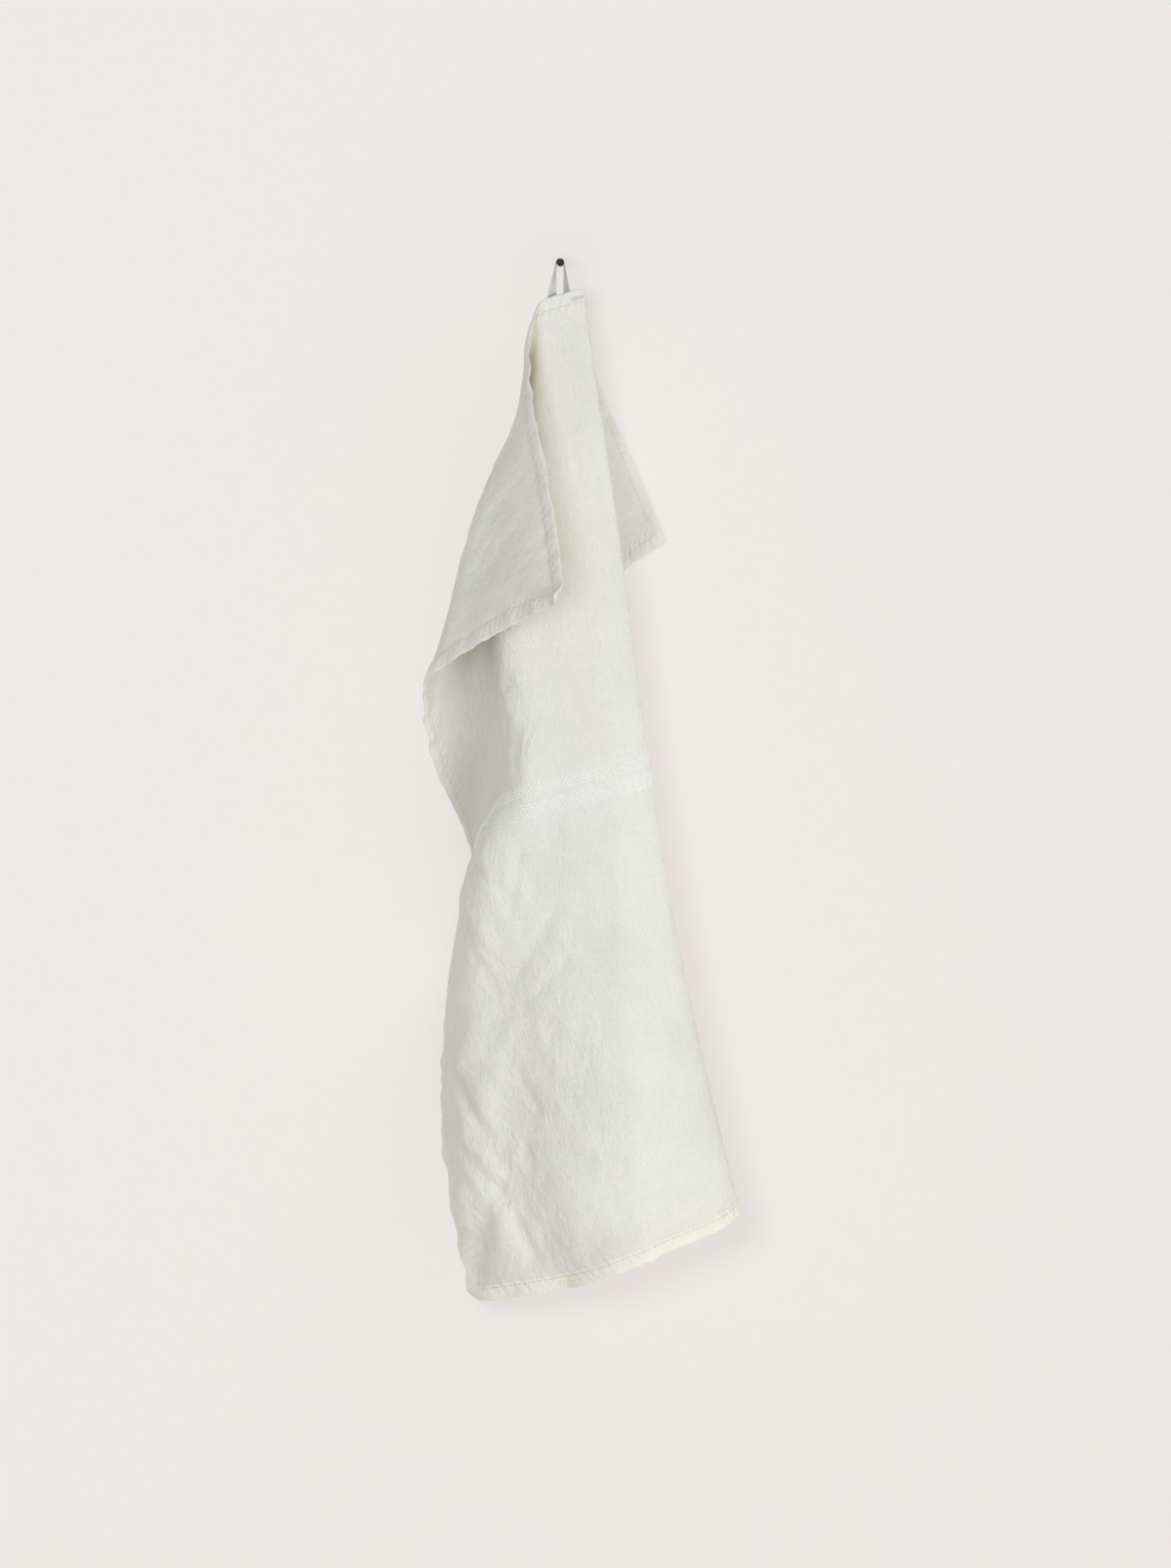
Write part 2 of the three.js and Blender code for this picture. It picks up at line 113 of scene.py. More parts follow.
# %% How a fold is written down
# turn: the fold's angle in the flat cloth, from straight down the towel, in degrees. swing: its angle to the
# right of plumb as hung. lean: its angle towards the wall. soft: the rounding in mm. reach: the share of its
# length that is left where the cloth is drawn up in small ripples. Each has a value for each distance.
FIELDS = ("turn", "swing", "lean", "soft", "reach")
HANGING = ("swing", "lean", "reach")


def steady(value):
    """The same value at every distance."""
    return (value,) * len(DISTANCES)


def fold(name, turn, swing, lean, soft, reach=steady(1.0)):
    """One fold of a fan, with its values at the tables' distances."""
    return dict(name=name, turn=turn, swing=swing, lean=lean, soft=soft, reach=reach)


PANEL_EDGE = dict(turn=steady(PANEL_TURN), swing=steady(3.5), lean=steady(PANEL_LEAN))

# %% Folds of the left fan
LEFT_FOLDS = [
    fold(
        "top hem",
        turn=steady(-90),
        swing=(-16, -7, 2.5, 4.6, 4.6, 4.6, 4.6),
        lean=(-26, -30, -25, -23, -23, -23, -23),
        soft=(6, 8, 10, 10, 10, 10, 10),
    ),
    fold(
        "flap middle",
        turn=steady(-74),
        swing=(-21, -13, -8, -5.5, -5.5, -5.5, -5.5),
        lean=(-13, -19, -17, -15, -15, -15, -15),
        soft=(8, 14, 30, 40, 40, 40, 40),
    ),
    fold(
        "left fold",
        turn=steady(-55),
        swing=(-18, -11.6, -16.6, -17, -17, -16, -15),
        lean=(-1, 1, -4, -5, -5, -5, -5),
        soft=(6, 8, 11, 14, 14, 14, 14),
    ),
    fold(
        "valley at the left",
        turn=(-44, -44, -44, -44, -44, -44, -40),
        swing=(-15, -11.5, -14, -14.5, -14, -13, -12),
        lean=(4, 10, 7, 5, 4, 4, 4),
        soft=(4, 5, 10, 20, 24, 24, 30),
    ),
    fold(
        "valley at the right",
        turn=(-35, -35, -35, -35, -35, -35, -29),
        swing=(-9, -5.5, -7.5, -8, -8.5, -6.1, -7.5),
        lean=(3, 8, 9, 8, 7, 6, 2),
        soft=(4, 5, 12, 22, 26, 30, 30),
        reach=(1, 1, 1, 1, 1, 1, 0.98),
    ),
    fold(
        "ridge",
        turn=(-22, -22, -22.5, -22, -18, -22.7, -20.5),
        swing=(-5.5, -5, -7, -6.6, -2.8, -7.9, -6.2),
        lean=(-5, -6, -5, -6, -6.5, -6, -6.4),
        soft=(5, 8, 14, 22, 20, 24, 26),
    ),
    fold("panel", **PANEL_EDGE, soft=(1, 1, 2, 4, 4, 4, 4)),
]
print("left folds:", [f["name"] for f in LEFT_FOLDS])

# %% Folds of the right fan
RIGHT_FOLDS = [
    fold("panel", **PANEL_EDGE, soft=(1, 1, 2, 3, 3, 4, 4)),
    fold(
        "right fold",
        turn=(-7.6, -7.6, -7.6, -7.4, -7.4, -7.4, -4.4),
        swing=(8.5, 8.5, 8.6, 8.6, 8.6, 8.8, 12.6),
        lean=(-7, -7, -7, -6.4, -5.9, -5.5, -4.9),
        soft=(3, 4, 9, 14, 18, 22, 70),
        reach=(1, 1, 1, 1, 1, 1, 0.96),
    ),
    fold(
        "pleat at the left",
        turn=(12, 12, 11, 10, 9, 8, 7),
        swing=(-3, -4, -3, -3, -2.5, -2, 0.5),
        lean=(5, 5, 2, 1, 0, -0.5, 0),
        soft=(4, 8, 12, 16, 20, 24, 30),
        reach=(1, 1, 1, 1, 1, 1, 0.985),
    ),
    fold(
        "pleat at the right",
        turn=(30, 30, 26, 24, 20, 17, 10),
        swing=(7, 8, 8, 8, 7, 6, 4),
        lean=(15, 16, 9, 6, 5, 4, 2),
        soft=(4, 8, 14, 18, 20, 24, 24),
    ),
    fold(
        "rear fold",
        turn=(55, 55, 52, 50, 43, 36, 20),
        swing=(-6, -8, -11, -12, -11, -10, -5),
        lean=(27, 28, 18, 13, 11, 9, 5),
        soft=(5, 10, 20, 26, 30, 40, 30),
    ),
    fold(
        "rear hem",
        turn=steady(90),
        swing=(2, 2, 12.5, 17, 17, 17, 17),
        lean=(40, 40, 26, 18, 18, 18, 18),
        soft=(5, 8, 10, 10, 10, 10, 10),
        reach=(0.8, 0.8, 0.88, 0.9, 0.9, 0.9, 0.9),
    ),
]
print("right folds:", [f["name"] for f in RIGHT_FOLDS])


# %% Where a fan of folds hangs
def mix(a, b, t):
    """The value between a and b, t of the way."""
    return a + (b - a) * t


def along_fold(values, distance):
    """Smooth curve through the values that one fold has at the tables' distances."""
    values = np.array(values, float)
    last = len(DISTANCES) - 1
    index = np.arange(last + 1)
    before, after = np.maximum(index - 1, 0), np.minimum(index + 1, last)
    slope = (values[after] - values[before]) / (DISTANCES[after] - DISTANCES[before])
    k = np.clip(np.searchsorted(DISTANCES, distance, side="right") - 1, 0, last - 1)
    step = DISTANCES[k + 1] - DISTANCES[k]
    t = np.clip((distance - DISTANCES[k]) / step, 0, 1)
    leaving = t * (1 - t) ** 2 * step * slope[k]
    arriving = t * t * (1 - t) * step * slope[k + 1]
    return mix(values[k], values[k + 1], t * t * (3 - 2 * t)) + leaving - arriving


def hang_at(fan, turn, distance):
    """Swing, lean and reach: straight from fold to fold, and rounded at each fold."""
    folds = [{field: along_fold(f[field], distance) for field in FIELDS} for f in fan]
    last = len(folds) - 1

    def straight(k, at):
        t = (at - folds[k]["turn"]) / (folds[k + 1]["turn"] - folds[k]["turn"])
        return [mix(folds[k][field], folds[k + 1][field], t) for field in HANGING]

    hang = straight(0, turn)
    for k in range(1, last):
        beyond = turn >= folds[k]["turn"]
        hang = [np.where(beyond, new, old) for new, old in zip(straight(k, turn), hang)]
    for k in reversed(range(1, last)):
        here = folds[k]
        room = np.minimum(
            (here["turn"] - folds[k - 1]["turn"]) / (1 if k == 1 else 2),
            (folds[k + 1]["turn"] - here["turn"]) / (1 if k == last - 1 else 2),
        )
        half = np.minimum(np.degrees(here["soft"] / np.maximum(distance, STIFFNESS)), room)
        t = (turn - here["turn"] + half) / (2 * half)
        middle = [here[field] for field in HANGING]
        ends = zip(straight(k - 1, here["turn"] - half), middle, straight(k, here["turn"] + half))
        rounded = [mix(mix(a, b, t), mix(b, c, t), t) for a, b, c in ends]
        hang = [np.where((t > 0) & (t < 1), new, old) for new, old in zip(rounded, hang)]
    return hang


def fan_point(start, fan, across, down):
    """Points of the fan of folds that starts at one place of the top hem."""
    distance = np.hypot(across - start, down)
    turn = np.degrees(np.arctan2(across - start, down))
    swing, lean, reach = hang_at(fan, turn, distance)
    origin = panel_point(np.array(float(start)), np.array(0.0))
    return origin + hanging_direction(swing, lean) * (distance * reach)[..., None]


# %% Where each place of the flat towel hangs
def folded_point(across, down):
    """Points with sharp folds near the loop."""
    slope = np.radians(PANEL_TURN)
    point = panel_point(across, down)
    left = (across - LEFT_START) * np.cos(slope) - down * np.sin(slope) < 0
    right = (across - RIGHT_START) * np.cos(slope) - down * np.sin(slope) > 0
    point[left] = fan_point(LEFT_START, LEFT_FOLDS, across[left], down[left])
    point[right] = fan_point(RIGHT_START, RIGHT_FOLDS, across[right], down[right])
    return point


ROUNDING_SIDES = 8
MIDDLE_WEIGHT = 2


def rounded_point(across, down):
    """Points rounded by the cloth's own stiffness: the mean of each place and a ring around it."""
    total = MIDDLE_WEIGHT * folded_point(across, down)
    for k in range(ROUNDING_SIDES):
        angle = k / ROUNDING_SIDES * 2 * math.pi
        total += folded_point(across + STIFFNESS * math.cos(angle), down + STIFFNESS * math.sin(angle))
    return total / (ROUNDING_SIDES + MIDDLE_WEIGHT)


def corner(right, bottom, start, tightness):
    """A corner's side (1 or -1 each way), where its turn starts and the radius of the turn, in mm."""
    return dict(right=right, bottom=bottom, start=start, tightness=tightness)


CORNERS = [
    corner(-1, 1, 22, 5.0),
    corner(-1, -1, 28, 4.0),
    corner(1, -1, 12, 3.0),
    corner(1, 1, 16, 4.0),
]
CURL_ANGLE = math.radians(75)


def curl(across, down):
    """Washed corners turn back a little: shifts across and down, and how far back they go, in mm."""
    shift_across, shift_down, taken_back = (np.zeros_like(across) for _ in range(3))
    for c in CORNERS:
        beside = np.maximum(c["right"] * across - HALF_WIDTH + c["start"], 0)
        below = np.maximum(c["bottom"] * (down - LENGTH / 2) - LENGTH / 2 + c["start"], 0)
        reach = np.maximum(np.hypot(beside, below), 1e-6)
        past = np.where((beside > 0) & (below > 0), np.maximum(reach - c["start"], 0), 0)
        bend = np.minimum(past / c["tightness"], CURL_ANGLE)
        straight = past - bend * c["tightness"]
        drawn_in = past - c["tightness"] * np.sin(bend) - straight * np.cos(bend)
        taken_back += c["tightness"] * (1 - np.cos(bend)) + straight * np.sin(bend)
        shift_across -= c["right"] * drawn_in * beside / reach
        shift_down -= c["bottom"] * drawn_in * below / reach
    return shift_across, shift_down, taken_back


corner_places = np.array((-HALF_WIDTH, 0.0, HALF_WIDTH)), np.array((LENGTH, LENGTH, 0.0))
hung_corners = rounded_point(*corner_places)
print("lower left, lower middle and rear corner hang at", hung_corners.round(1).tolist())

# %% [markdown]
# ## Ridges, creases and crumples
# Washed linen keeps the creases of its drying. Three kinds of relief are laid on the folds, all of them as
# heights in mm above the flat cloth. Broad ridges shape the panel, and the model has them too. Creases are the
# single marks that the eye picks out, so they are listed one by one. Crumples are the net of small facets
# between them. They come from noise whose zero lines are turned into sharp creases, which looks like crushed
# cloth, and they are strong only where a short table of places says so.


# %% Ridges and creases, listed one by one
def ridge(start, end, height, width):
    """A soft ridge, or a trough if the height is below 0, between two places of the flat towel, in mm."""
    return dict(start=start, end=end, height=height, width=width)


RIDGES = [
    ridge((-70, 140), (-100, 660), 5, 60),
    ridge((-104, 215), (-118, 350), 3, 15),
    ridge((-150, 400), (-176, 450), 3, 16),
    ridge((-168, 470), (-186, 590), -4, 18),
    ridge((-206, 520), (-222, 640), 4, 16),
    ridge((-196, 620), (-190, 690), -4, 14),
    ridge((-160, 640), (-150, 700), 3, 22),
    ridge((-110, 650), (-104, 700), -3, 24),
    ridge((-150, 20), (-215, 120), 3, 24),
    ridge((-120, 70), (-190, 160), -3, 22),
    ridge((120, 420), (170, 690), 4, 30),
    ridge((190, 300), (215, 690), -5, 26),
    ridge((150, 30), (215, 90), 3, 24),
]
TURNED_BACK = [
    ridge((-278, 460), (-278, 730), 72, 92),
    ridge((-264, 440), (-264, 730), 13, 26),
]
CREASES = [
    ridge((-122, 433), (-158, 469), -1.1, 4),
    ridge((-123, 469), (-142, 483), -0.9, 3.5),
    ridge((-142, 483), (-161, 493), -0.9, 3.5),
    ridge((-133, 384), (-151, 426), -1.1, 4),
    ridge((-181, 453), (-177, 481), -1.2, 4),
    ridge((-172, 503), (-206, 564), 2.0, 7),
    ridge((-217, 533), (-210, 566), -1.3, 4),
    ridge((-177, 543), (-170, 568), -1.2, 4),
    ridge((-209, 620), (-202, 672), -2.8, 4.5),
    ridge((-216, 537), (-202, 611), -2.0, 5),
    ridge((-186, 593), (-186, 607), -1.2, 4),
    ridge((-218, 608), (-216, 628), -1.2, 4),
    ridge((-225, 590), (-212, 614), -1.8, 5),
    ridge((-251, 656), (-246, 680), -1.4, 4),
    ridge((-237, 618), (-240, 640), 2.6, 6),
    ridge((-247, 600), (-250, 650), -2.0, 6),
    ridge((-224, 640), (-243, 680), -5.0, 9),
    ridge((-127, 681), (-92, 669), 0.8, 6),
    ridge((-180, 646), (-192, 671), -1.2, 8),
    ridge((-210, 620), (-200, 625), -1.0, 4),
    ridge((-124, 308), (-127, 326), 0.9, 4),
    ridge((-112, 296), (-120, 314), -0.9, 4),
    ridge((-108, 312), (-114, 328), 0.8, 4),
    ridge((-118, 262), (-114, 282), 0.9, 4),
    ridge((-104, 252), (-112, 266), -0.8, 4),
    ridge((-108, 226), (-104, 244), 0.8, 4),
    ridge((-190, 400), (-170, 440), 1.4, 5),
    ridge((-176, 380), (-150, 410), -1.2, 5),
    ridge((-20, 12), (-28, 120), 1.2, 5),
    ridge((10, 14), (18, 26), -1.0, 4),
]


def relief(ridges, across, down):
    """The summed height in mm of soft ridges, and of troughs where the height is below 0."""
    lift = np.zeros_like(across)
    for r in ridges:
        run = np.subtract(r["end"], r["start"])
        length = np.hypot(*run)
        along = ((across - r["start"][0]) * run[0] + (down - r["start"][1]) * run[1]) / length
        aside = ((across - r["start"][0]) * run[1] - (down - r["start"][1]) * run[0]) / length
        past = np.maximum(np.maximum(-along, along - length), 0)
        lift += r["height"] * np.exp(-(np.hypot(aside, past) / r["width"]) ** 2)
    return lift


print("ridges:", len(RIDGES), "creases:", len(CREASES))


# %% Noise
LATTICE = 64
NOISE_GAIN = 1.5


def noise(x, y, seed):
    """Gradient noise from about -1 to 1, on a lattice of unit cells that repeats after LATTICE of them."""
    angles = np.random.default_rng(seed).uniform(0, 2 * math.pi, (LATTICE, LATTICE))
    column, row = np.floor(x).astype(int), np.floor(y).astype(int)
    fx, fy = x - column, y - row

    def from_corner(dx, dy):
        angle = angles[(column + dx) % LATTICE, (row + dy) % LATTICE]
        return np.cos(angle) * (fx - dx) + np.sin(angle) * (fy - dy)

    u, v = (t * t * t * (t * (6 * t - 15) + 10) for t in (fx, fy))
    top = mix(from_corner(0, 0), from_corner(1, 0), u)
    bottom = mix(from_corner(0, 1), from_corner(1, 1), u)
    return NOISE_GAIN * mix(top, bottom, v)


print("noise in the middle of a cell:", noise(np.array(0.5), np.array(0.5), 1).round(3))


# %% Where and how strongly the cloth is crumpled
def octave(wide, tall, slant, height, seed):
    """One size of crumples: its facets' width, length, slant in degrees and height in mm."""
    return dict(wide=wide, tall=tall, slant=slant, height=height, seed=seed)


CRUMPLES = [
    octave(32, 110, 18, 2.6, 3),
    octave(18, 70, -20, 2.0, 8),
    octave(12, 46, 22, 1.1, 21),
    octave(8, 26, -16, 0.6, 27),
]
SHARPNESS = 0.02


def spot(across, down, wide, tall, strength):
    """A soft place on the flat towel where an effect has a strength."""
    return dict(across=across, down=down, wide=wide, tall=tall, strength=strength)


CRUMPLED_PLACES = [
    spot(-215, 600, 60, 150, 1.0),
    spot(-200, 380, 60, 120, 1.0),
    spot(-150, 520, 46, 130, 0.7),
    spot(-116, 270, 26, 90, 1.0),
    spot(-170, 280, 50, 80, 0.6),
    spot(-170, 70, 70, 80, 0.6),
    spot(-40, 60, 60, 70, 0.45),
    spot(-60, 640, 60, 60, 0.3),
    spot(180, 500, 90, 260, 0.6),
]
CALM_CRUMPLE = 0.26
CALM_LOOP, LOOP_FADE = 40, 110


def edge_distance(across, down):
    """How far a place of the flat towel is from its nearest edge, in mm."""
    return np.minimum(HALF_WIDTH - np.abs(across), np.minimum(down, LENGTH - down))


def crumple_strength(across, down):
    """Strong in the crumpled places, weak elsewhere and nothing beside the loop."""
    strength = np.full_like(across, CALM_CRUMPLE)
    for s in CRUMPLED_PLACES:
        reach = ((across - s["across"]) / s["wide"]) ** 2 + ((down - s["down"]) / s["tall"]) ** 2
        strength = np.maximum(strength, s["strength"] * np.exp(-reach))
    return strength * np.clip((np.hypot(across, down) - CALM_LOOP) / LOOP_FADE, 0, 1)


print("sizes of crumples:", len(CRUMPLES), "crumpled places:", len(CRUMPLED_PLACES))

# %% Crumples from creased noise
BEND, BEND_LENGTH = 9, 60
FACET_MIDDLE = 0.3
CALM_HEM, CALM_HEM_DEPTH = 0.6, 14


def crumple(across, down):
    """Heights in mm of the net of small facets that crushed cloth keeps."""
    bent_across = across + BEND * noise(across / BEND_LENGTH, down / BEND_LENGTH, 5)
    bent_down = down + BEND * noise(across / BEND_LENGTH, down / BEND_LENGTH, 6)
    height = np.zeros_like(across)
    for o in CRUMPLES:
        slant = math.radians(o["slant"])
        x = bent_across * math.cos(slant) + bent_down * math.sin(slant)
        y = bent_down * math.cos(slant) - bent_across * math.sin(slant)
        n = noise(x / o["wide"], y / o["tall"], o["seed"])
        height += o["height"] * (FACET_MIDDLE - np.sqrt(n * n + SHARPNESS**2))
    calm_hem = 1 - CALM_HEM * np.exp(-((edge_distance(across, down) / CALM_HEM_DEPTH) ** 2))
    return height * crumple_strength(across, down) * calm_hem


# %% [markdown]
# ## The cloth as a closed sheet
# The towel is one cloth with a narrow hem on all four sides, turned to the wrong side and sewn down. A sheet
# with two faces and a rim is better here than a plane with a Solidify modifier, because the hems are thicker
# than the cloth, and only towards the wrong side.
# Hems also ripple: the turned edge is a little longer or shorter than the cloth beside it.

# %% Thickness and ripples of the hems
CLOTH = 0.8
HEM = 1.8
STITCH_LINE = 9.2
STITCH_GROOVE = 0.25
RIPPLE_HEIGHT = 2.4
RIPPLE_LENGTH = 22
RIPPLE_DEPTH = 16
FLAT_AT_LOOP, FLAT_FADE = 14, 60


def faces_of_cloth(edge):
    """Heights of the right and the wrong face over the middle of the cloth, in mm."""
    round_off = np.sqrt(1 - (1 - np.clip(edge / (HEM / 2), 0, 1)) ** 2)
    centre = (CLOTH - HEM) / 2
    in_hem = np.clip((HEM_WIDTH + 0.4 - edge) / 0.8, 0, 1)
    groove = STITCH_GROOVE * np.exp(-(((edge - STITCH_LINE) / 0.9) ** 2))
    right = mix(CLOTH / 2, centre + HEM / 2 * round_off, in_hem) - groove
    wrong = mix(-CLOTH / 2, centre - HEM / 2 * round_off, in_hem) + groove
    return right, wrong


def hem_ripples(across, down):
    """Small waves along each hem that fade into the cloth, in mm."""
    height = np.zeros_like(across)
    sides = (
        (HALF_WIDTH + across, down, 31),
        (HALF_WIDTH - across, down, 32),
        (down, across, 33),
        (LENGTH - down, across, 34),
    )
    for edge, along, seed in sides:
        long_wave = noise(along / RIPPLE_LENGTH, edge / 40, seed)
        short_wave = 0.5 * noise(along / RIPPLE_LENGTH * 2.3, edge / 20, seed + 9)
        height += RIPPLE_HEIGHT * (long_wave + short_wave) * np.exp(-((edge / RIPPLE_DEPTH) ** 2))
    return height * np.clip((np.hypot(across, down) - FLAT_AT_LOOP) / FLAT_FADE, 0, 1)


print("cloth and hem in mm:", CLOTH, HEM)

# %% How the sewn edges wander
WAVER = 0.8
WAVER_LENGTH = 6.0
WAVER_DEPTH = 7.0
PULLED_ACROSS = -120
PULLED_WIDE = 34
PULLED_DEEP = 30
PULLED_UP = 6.0


def edge_waver(across, down):
    """How far the sewn edges wander in the plane of the cloth, in mm: across and down."""
    at_side = np.exp(-(((HALF_WIDTH - np.abs(across)) / WAVER_DEPTH) ** 2))
    at_end = np.exp(-((np.minimum(down, LENGTH - down) / WAVER_DEPTH) ** 2))
    side_wave = noise(down / WAVER_LENGTH, across / HALF_WIDTH, 41)
    end_wave = noise(across / WAVER_LENGTH, down / LENGTH, 42)
    from_pull = ((across - PULLED_ACROSS) / PULLED_WIDE) ** 2 + ((LENGTH - down) / PULLED_DEEP) ** 2
    pulled = np.exp(-from_pull)
    return WAVER * at_side * side_wave, WAVER * at_end * end_wave - PULLED_UP * pulled


print("the bottom hem is pulled up by", PULLED_UP, "mm at", PULLED_ACROSS)

# %% Grid of the flat towel
HEM_LINES = (0, 0.35, 1.4, 5.0, 8.3, 9.2, 10.1, 10.7, 11.5)
CRUMPLED_EDGE = -110
CRUMPLED_COLUMNS = 66
PANEL_COLUMNS = 34
RIGHT_COLUMNS = 60
ROWS = 234


def grid_lines(low, high, *inner):
    """Lines from low to high, fine at both hems, with an even count of steps between the inner places."""
    hem = np.array(HEM_LINES, float)
    places = [low + hem[-1], *[place for place, _ in inner[:-1]], high - hem[-1]]
    runs = [np.linspace(places[k], places[k + 1], inner[k][1] + 1)[1:] for k in range(len(inner))]
    return np.concatenate((low + hem, *runs, (high - hem[:-1])[::-1]))


column_lines = grid_lines(
    -HALF_WIDTH,
    HALF_WIDTH,
    (CRUMPLED_EDGE, CRUMPLED_COLUMNS),
    (0, PANEL_COLUMNS),
    (HALF_WIDTH, RIGHT_COLUMNS),
)
row_lines = grid_lines(0, LENGTH, (LENGTH, ROWS))
flat_down, flat_across = np.meshgrid(row_lines, column_lines, indexing="ij")
print("grid of the cloth:", flat_across.shape, "places")


# %% The cloth's middle surface
def normals_of(points):
    """The direction that the right face looks, for a grid of points with rows down the towel."""
    across_way = np.gradient(points, axis=1)
    down_way = np.gradient(points, axis=0)
    out = np.cross(down_way, across_way)
    return out / np.linalg.norm(out, axis=-1, keepdims=True)


shift_across, shift_down, taken_back = curl(flat_across, flat_down)
waver_across, waver_down = edge_waver(flat_across, flat_down)
plain = rounded_point(flat_across + shift_across + waver_across, flat_down + shift_down + waver_down)
plain[..., 1] += relief(TURNED_BACK, flat_across, flat_down)
lift = relief(RIDGES, flat_across, flat_down) - taken_back
lift += relief(CREASES, flat_across, flat_down)
lift += crumple(flat_across, flat_down)
lift += hem_ripples(flat_across, flat_down)
middle = plain + normals_of(plain) * lift[..., None]
cloth_normals = normals_of(middle)
right_height, wrong_height = faces_of_cloth(edge_distance(flat_across, flat_down))
right_face = middle + cloth_normals * right_height[..., None]
wrong_face = middle + cloth_normals * wrong_height[..., None]
print("lowest point of the cloth in mm:", round(float(middle[..., 2].min()), 1))


# %% Turn points into a Blender object
def make_piece(name, points, faces):
    """A smooth mesh object from points in mm."""
    mesh = bpy.data.meshes.new(name)
    mesh.from_pydata((points.reshape(-1, 3) * MM).tolist(), [], faces)
    mesh.shade_smooth()
    piece = bpy.data.objects.new(name, mesh)
    bpy.context.scene.collection.objects.link(piece)
    return piece


def sheet_faces(rows, columns):
    """Quads of a closed sheet: the right face, the wrong face and the rim between them."""
    index = np.arange(rows * columns).reshape(rows, columns)
    quads = np.stack((index[:-1, :-1], index[1:, :-1], index[1:, 1:], index[:-1, 1:]), axis=-1)
    quads = quads.reshape(-1, 4)
    rim = np.concatenate((index[0, :-1], index[:-1, -1], index[-1, :0:-1], index[:0:-1, 0]))
    ahead = np.roll(rim, -1)
    behind = rows * columns
    rim_quads = np.stack((rim, ahead, ahead + behind, rim + behind), axis=-1)
    return np.concatenate((quads, quads[:, ::-1] + behind, rim_quads))


rows, columns = flat_across.shape
cloth_points = np.concatenate((right_face.reshape(-1, 3), wrong_face.reshape(-1, 3)))
towel_cloth = make_piece("towel_cloth", cloth_points, sheet_faces(rows, columns).tolist())

flat_map = towel_cloth.data.uv_layers.new(name="flat_cloth")
flat_places = np.stack((flat_across / (2 * HALF_WIDTH) + 0.5, 1 - flat_down / LENGTH), axis=-1)
flat_places = np.tile(flat_places.reshape(-1, 2), (2, 1))
face_corners = np.empty(len(towel_cloth.data.loops), int)
towel_cloth.data.loops.foreach_get("vertex_index", face_corners)
flat_map.data.foreach_set("uv", flat_places[face_corners].ravel())
print("cloth triangles:", 2 * len(towel_cloth.data.polygons))

# %% [markdown]
# ## Finding a place on the finished cloth
# Stitches and woven floats sit on the cloth, wherever it has gone. They ask the finished grid for a point and
# a direction, so they follow every crease without being fitted by hand.


# %% Sampler for the finished cloth
def on_cloth(across, down, side=1):
    """Points on the right face (side 1) or the wrong face (side -1), and the directions that they look."""
    column = np.clip(np.searchsorted(column_lines, across) - 1, 0, columns - 2)
    row = np.clip(np.searchsorted(row_lines, down) - 1, 0, rows - 2)
    u = ((across - column_lines[column]) / (column_lines[column + 1] - column_lines[column]))[..., None]
    v = ((down - row_lines[row]) / (row_lines[row + 1] - row_lines[row]))[..., None]

    def sample(grid):
        top = mix(grid[row, column], grid[row, column + 1], u)
        bottom = mix(grid[row + 1, column], grid[row + 1, column + 1], u)
        return mix(top, bottom, v)

    face = right_face if side > 0 else wrong_face
    return sample(face), side * sample(cloth_normals)


probe, _ = on_cloth(np.array((0.0,)), np.array((350.0,)))
print("the middle of the towel hangs at", probe.round(1).tolist())

# %% [markdown]
# ## Threads
# A stitch is a short, slightly flattened capsule of thread that dips into the cloth at both ends. One helper
# makes any number of them as one mesh. It is used for the hem's running stitch, for the bar tack that holds
# the loop, and for the raised floats of the woven band.

# %% Many short threads as one mesh
THREAD_SIDES = 6
THREAD_RINGS = np.array(((-0.5, 0.35), (-0.36, 0.85), (0.0, 1.0), (0.36, 0.85), (0.5, 0.35)))


def threads(name, starts, ends, normals, wide, high, sink):
    """Short threads from starts to ends, lying on the cloth and sunk by a share of their height."""
    along = ends - starts
    length = np.linalg.norm(along, axis=1, keepdims=True)
    along = along / length
    sideways = np.cross(along, normals)
    sideways /= np.linalg.norm(sideways, axis=1, keepdims=True)
    up = np.cross(sideways, along)
    centre = (starts + ends) / 2 + up * high * (0.5 - sink)
    angle = np.arange(THREAD_SIDES) / THREAD_SIDES * 2 * math.pi
    rings = []
    for place, girth in THREAD_RINGS:
        dip = (1 - girth) * 0.5 * high
        spoke = (
            sideways[:, None] * (np.cos(angle) * wide / 2 * girth)[None, :, None]
            + up[:, None] * (np.sin(angle) * high / 2 * girth - dip)[None, :, None]
        )
        rings.append((centre + along * length * place)[:, None] + spoke)
    points = np.stack(rings, axis=1)
    count = len(starts)
    ring = np.arange(THREAD_SIDES)
    ahead = np.roll(ring, -1)
    sides = []
    for k in range(len(THREAD_RINGS) - 1):
        a, b = k * THREAD_SIDES, (k + 1) * THREAD_SIDES
        sides.append(np.stack((a + ring, a + ahead, b + ahead, b + ring), axis=-1))
    sides = np.concatenate(sides)
    each = len(THREAD_RINGS) * THREAD_SIDES
    quads = (sides[None] + (np.arange(count) * each)[:, None, None]).reshape(-1, 4)
    first = np.arange(count)[:, None] * each
    caps = np.concatenate((first + ring[None, ::-1], first + each - THREAD_SIDES + ring[None]))
    piece = make_piece(name, points, quads.tolist() + caps.tolist())
    print(name, "threads:", count, "triangles:", count * (len(sides) * 2 + 2 * (THREAD_SIDES - 2)))
    return piece


# %% Hem stitches and the bar tack
STITCH_LENGTH = 2.6
STITCH_PITCH = 3.1
STITCH_WIDE = 0.6
STITCH_HIGH = 0.5
inner_across = HALF_WIDTH - STITCH_LINE


